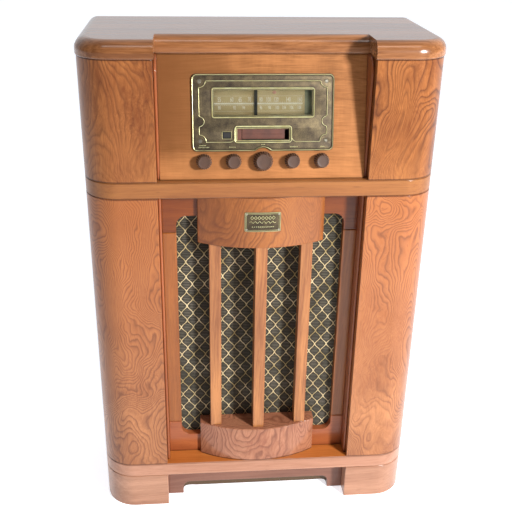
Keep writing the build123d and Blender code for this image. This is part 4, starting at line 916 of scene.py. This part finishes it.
# ---- knobs
def build_knob(word, radius, taper, teeth):
    """Moulded knob, in millimetres: a tapered skirt with notches that run out over its face."""
    height, bore, notch_depth = 17.4, 3.04, 2.1
    face = radius - taper
    # Each row: reach, rise and the share of the notches' depth.
    profile = [
        (0.0, height - 4.4, 0.0), (bore, height - 4.4, 0.0), (bore, 1.0, 0.0),
        (radius - 1.0, 1.0, 0.0), (radius - 0.25, 1.15, 0.0), (radius, 1.7, 0.0),
        (radius - 0.15, 2.6, 0.3), (radius - 0.3, 3.6, 1.0), (radius - 0.9, 9.0, 1.0),
        (face + 0.3, height - 2.2, 1.0), (face, height - 1.1, 1.0), (face - 0.4, height - 0.4, 1.0),
        (face - 1.0, height, 0.75), (face - 1.7, height, 0.3), (face - 2.6, height - 0.12, 0.0),
        (face * 0.45, height - 0.2, 0.0), (0.0, height - 0.2, 0.0),
    ]
    shape = relief_shape()
    grime_and_shade = shape.verts.layers.float["relief"]
    segments = teeth * 10
    rings = []
    for reach, rise, cut in in_mm(profile):
        ring = []
        for index in range(segments if reach else 1):
            turn = 2 * pi * index / segments
            notch = cut * (0.5 + 0.5 * cos(teeth * turn)) ** 1.7
            out = reach - notch * notch_depth * MM
            vertex = shape.verts.new((out * cos(turn), out * sin(turn), rise))
            # Depth share that paints the notches dark and the tips pale: dirt, wear, painted shade and
            # highlight.
            vertex[grime_and_shade] = notch + 0.2 * (1.0 - cut)
            ring.append(vertex)
        rings.append(ring)
    for low, high in zip(rings, rings[1:]):
        for index in range(segments):
            following = (index + 1) % segments
            corners = [low[index % len(low)], low[following % len(low)]]
            corners += [high[following % len(high)], high[index % len(high)]]
            shape.faces.new(list(dict.fromkeys(corners)))
    mesh = to_mesh(shape, f"{word}_knob_shape")
    place = panel_place(joints[f"{word}_turn"]["pos_m"][0], knob_line)
    add_piece(f"{word}_knob_moulding", mesh, "bakelite", word,
              [f"{word}_knob"], place, angle=40)


# ---- dial
SCALE_PROUD = -7.5 * MM
PRINT = 0.04 * MM  # half the thickness of the print
TICKS, TICK_PITCH = 47, 3.15 * MM
# Rise of each row's middle, its letter size, and each number with its place across.
NUMERALS = (
    (133.4, 10.4, (("55", -73.0), ("60", -52.0), ("65", -38.0), ("70", -22.5), ("80", -3.0),
                   ("100", 9.5), ("120", 22.5), ("140", 43.0), ("160", 62.5))),
    (120.0, 8.4, (("88", -73.0), ("92", -47.5), ("94", -32.0), ("96", -3.0), ("98", 11.5),
                  ("100", 24.5), ("104", 36.0), ("106", 48.5), ("108", 62.0))),
)


def print_bar(shape, x, rise, width, height):
    """Thin printed bar on the scale."""
    outline = rounded_rectangle((x, rise), width, height, min(width, height) * 0.2)
    prism(shape, outline, SCALE_PROUD, SCALE_PROUD + 2 * PRINT)


def build_dial():
    """Numbers, lines and a small pale pink disc on the scale, which is a painted glare."""
    shape = bmesh.new()
    for rise, size, marks in NUMERALS:
        for text, x in marks:
            data = bpy.data.curves.new("numeral", "FONT")
            data.body = text
            data.size = size * MM
            data.extrude = PRINT
            data.offset = 0.14 * MM
            data.align_x = data.align_y = "CENTER"
            data.resolution_u = 3
            mesh = curve_mesh(data)
            mesh.transform(Matrix.Diagonal((0.55, 1, 1, 1)))
            mesh.transform(Matrix.Translation((x * MM, rise * MM, SCALE_PROUD + PRINT)))
            shape.from_mesh(mesh)
            bpy.data.meshes.remove(mesh)
    for rise, height in ((127.2, 2.2), (124.9, 0.4), (139.6, 0.35), (114.6, 0.35)):
        print_bar(shape, -7.5 * MM, rise * MM, 150.0 * MM, height * MM)
    for index in range(TICKS):
        x = -80.0 * MM + TICK_PITCH * index
        tall = (1.4 if index % 4 else 2.6) * MM
        print_bar(shape, x, 129.6 * MM, 0.35 * MM, tall)
        print_bar(shape, x, 124.0 * MM, 0.35 * MM, 0.8 * tall)
    mesh = to_mesh(shape, "dial_numerals")
    add_piece("dial_numerals", mesh, "mark", place=panel_place(0, 0))

    # Pale pink disc on the scale: a painted glare.
    shape = bmesh.new()
    bmesh.ops.create_uvsphere(shape, u_segments=24, v_segments=12, radius=3.4 * MM)
    for vertex in shape.verts:
        vertex.co.y *= 0.8
        vertex.co.z *= 0.3
    mesh = to_mesh(shape, "glare_disc")
    add_piece("glare_disc", mesh, "red",
              place=panel_place(19.6 * MM, 145.6 * MM, SCALE_PROUD))


# ---- name plate
def build_name_plate():
    """Engraved brass plate bent to the bow, with plain ornament in place of a name."""
    low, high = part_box("name_plate")
    width, height = high.x - low.x, high.z - low.z
    depth, overlap, fine = 1.15 * MM, 1.0 * MM, 0.1 * MM
    outline = soften(rounded_rectangle((0, 0), width, height, 2.5 * MM), 1.0 * MM, 1)
    shape = relief_shape()
    layer = shape.verts.layers.float["relief"]
    span = Vector((width - overlap, height - overlap))
    for level in (0.0, depth):
        def place_of(across, up):
            return (across - 0.5) * span.x, (up - 0.5) * span.y, level

        for vertex in lattice(shape, 63, 36, place_of):
            vertex[layer] = 0.12
    rim = (
        (0.0, -1.1, 0.2), (0.0, -0.15, 0.6), (0.3, 0.25, 0.75), (1.0, 0.3, 0.75), (1.5, 0.05, 0.5),
        (1.6, -1.1, 0.0),
    )
    sweep(shape, outline, in_mm(rim), depth)
    inside = rounded_rectangle((0, 0), width - 6.0 * MM, height - 6.0 * MM, 3.0 * MM)
    sweep(shape, soften(inside, 1.0 * MM, 1), bead(0.6 * MM, 0.3 * MM, fine), depth)
    for index in range(-3, 4):
        centre = Vector((index * 6.2 * MM, 8.2 * MM))
        corners = ((2.6, 0), (0, 3.2), (-2.6, 0), (0, -3.2))
        lozenge = [centre + Vector(corner) * MM for corner in corners]
        sweep(shape, lozenge, bead(0.9 * MM, 0.5 * MM, fine), depth)
    wave = [Vector((x * 0.5 * MM, 1.6 * MM * sin(x * 0.42))) for x in range(-46, 47)]
    sweep(shape, wave, bead(0.8 * MM, 0.45 * MM, fine), depth, closed=False)
    for index in range(-5, 6):
        ring = arc((index * 3.6 * MM, -8.6 * MM), 0.8 * MM, 0, 330, 11)
        sweep(shape, ring, bead(0.6 * MM, 0.4 * MM, fine), depth)
    bow_low, bow_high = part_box("upper_bow")
    half, bow_rise = (bow_high.x - bow_low.x) / 2, 31.5 * MM
    radius = (half**2 + bow_rise**2) / (2 * bow_rise)
    axis_y = bow_low.y + radius
    middle = (low.z + high.z) / 2
    for vertex in shape.verts:
        turn, out = vertex.co.x / radius, radius + vertex.co.z + 0.02 * MM
        vertex.co = (out * sin(turn), axis_y - out * cos(turn), middle + vertex.co.y)
    mesh = to_mesh(shape, "name_plate_relief")
    add_piece("name_plate_relief", mesh, "brass", replaces=["name_plate"])


# ---- grille cloth
def build_cloth():
    """Cloth stretched over the baffle, with the faint slackness that it has between tacks."""
    low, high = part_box("grille_cloth")
    width, height = high.x - low.x, high.z - low.z
    middle, step = (low.y + high.y) / 2, 4 * MM

    def place_of(across, up):
        x, z = low.x + width * across, low.z + height * up
        slack = sin(9.0 * x + 2.0) * sin(6.5 * z) + 0.6 * sin(23.0 * x - 11.0 * z)
        return x, middle + 0.09 * MM * slack, z

    shape = bmesh.new()
    lattice(shape, round(width / step), round(height / step), place_of)
    mesh = bpy.data.meshes.new("stretched_cloth")
    shape.to_mesh(mesh)
    shape.free()
    cloth = add_piece("stretched_cloth", mesh, "cloth", replaces=["grille_cloth"])
    solid = cloth.modifiers.new("thickness", "SOLIDIFY")
    solid.thickness = 0.5 * MM
    solid.offset = 0.0


build_bezel()
for word in ("volume", "tone", "band", "function"):
    build_knob(word, 13.1, 1.9, 20)
build_knob("tuning", 16.7, 2.9, 24)
build_dial()
build_name_plate()
build_cloth()


# ---- tape unit, smaller parts, and parts that keep their shape
FLAP_ENDS = (-36.2 * MM, 36.0 * MM)


def slot_trim(centre, normal):
    """The strips beside the tape flap have the flap's colour, and the rest is black."""
    between = FLAP_ENDS[0] < centre.x < FLAP_ENDS[1]
    return 0 if between or centre.y > front + 40 * MM else 1


eased("tape_deck", ["black", "flap"], width=0.3 * MM, choose=slot_trim,
      cuts=FLAP_ENDS)
eased("tape_flap", "flap", "flap", 0.3 * MM)
eased("eject_button", "black", "eject", 0.5 * MM)
eased("mains_inlet", "black", width=0.4 * MM)
eased("power_transformer", "core", width=0.8 * MM)
for finish, nodes in {
    "aluminium": ("capacitor_frame", "capacitor_rotor"),
    "black_steel": ("speaker_basket",),
    "circuit": ("main_board",),
    "cone": ("speaker_cone",),
    "cord": ("dial_cord",),
    "dial": ("dial_scale",),
    "ferrite": ("speaker_magnet",),
    "glass": ("dial_glass",),
    "lamp": ("dial_lamps",),
    "pointer": ("dial_pointer",),
    "screw": ("brass_fasteners", "rear_cover_screws"),
    "steel": ("chassis", "panel_controls"),
    "tray": ("dial_tray",),
    "turned": ("band_shaft", "function_shaft", "tone_shaft", "tuning_shaft", "volume_shaft"),
    "white": ("dial_drum", "left_dial_pulley", "right_dial_pulley"),
}.items():
    for node in nodes:
        materials = frame["nodes"][node].data.materials
        materials.clear()
        materials.append(finishes[finish])


# ---- floor and light
FLOOR_HALF = 14.0
SKY_FRONT, SKY_BACK = 0.05, 0.85
# Each light: name, degrees round and up, distance, size and power.
LIGHTS = (
    ("key", 38, 21, 2.2, (0.26, 0.26), 74.0),
    ("overhead", 0, 62, 2.6, (2.4, 0.5), 14.0),
)


def build_stage():
    """Pale floor that glows less in front, a sky that is bright behind, and soft lights."""
    mesh = bpy.data.meshes.new("floor")
    corners = [(x * FLOOR_HALF, y * FLOOR_HALF, 0) for x, y in ((-1, -1), (1, -1), (1, 1), (-1, 1))]
    mesh.from_pydata(corners, [], [(0, 1, 2, 3)])
    floor = bpy.data.objects.new("floor", mesh)
    show(floor)
    paint = Shade("floor_paint", Roughness=0.6, Specular_IOR_Level=0.2, Emission_Strength=1.0)
    stops = ((0.0, (0.16, 0.165, 0.175, 1)), (1.0, (0.66, 0.68, 0.72, 1)))
    glow = paint.ramp(paint.fit(paint.axis(1), -1.8, -0.5), *stops)
    paint.tree.links.new(glow, paint.shader.inputs["Emission Color"])
    cloud = paint.noise(paint.place, 1.4, 2.0)
    mesh.materials.append(paint.finish(paint.mix(cloud, rgb(243, 243, 245), rgb(247, 247, 248))))

    world = bpy.data.worlds.new("studio")
    bpy.context.scene.world = world
    world.use_nodes = True
    nodes, links = world.node_tree.nodes, world.node_tree.links
    sky = nodes["Background"]
    direction = nodes.new("ShaderNodeSeparateXYZ")
    links.new(nodes.new("ShaderNodeTexCoord").outputs["Generated"], direction.inputs[0])
    towards = nodes.new("ShaderNodeMath")
    towards.operation = "MULTIPLY_ADD"
    towards.inputs[1].default_value = 0.3
    links.new(direction.outputs[2], towards.inputs[0])
    links.new(direction.outputs[1], towards.inputs[2])
    brightness = nodes.new("ShaderNodeMapRange")
    links.new(towards.outputs[0], brightness.inputs[0])
    for number, value in enumerate((0.0, 0.85, SKY_FRONT, SKY_BACK), 1):
        brightness.inputs[number].default_value = value
    sky.inputs["Color"].default_value = (0.93, 0.96, 1.0, 1)
    links.new(brightness.outputs[0], sky.inputs["Strength"])

    target = Vector((0, 0, 0.5))
    for name, azimuth, elevation, distance, size, power in LIGHTS:
        data = bpy.data.lights.new(name, "AREA")
        data.shape = "RECTANGLE"
        data.size, data.size_y = size
        data.energy = power
        light = bpy.data.objects.new(name, data)
        show(light)
        turn, lift = radians(azimuth), radians(elevation)
        away = Vector((sin(turn) * cos(lift), -cos(turn) * cos(lift), sin(lift)))
        light.location = target + away * distance
        light.rotation_euler = away.to_track_quat("Z", "Y").to_euler()


build_stage()
bpy.context.scene.view_settings.view_transform = "Standard"
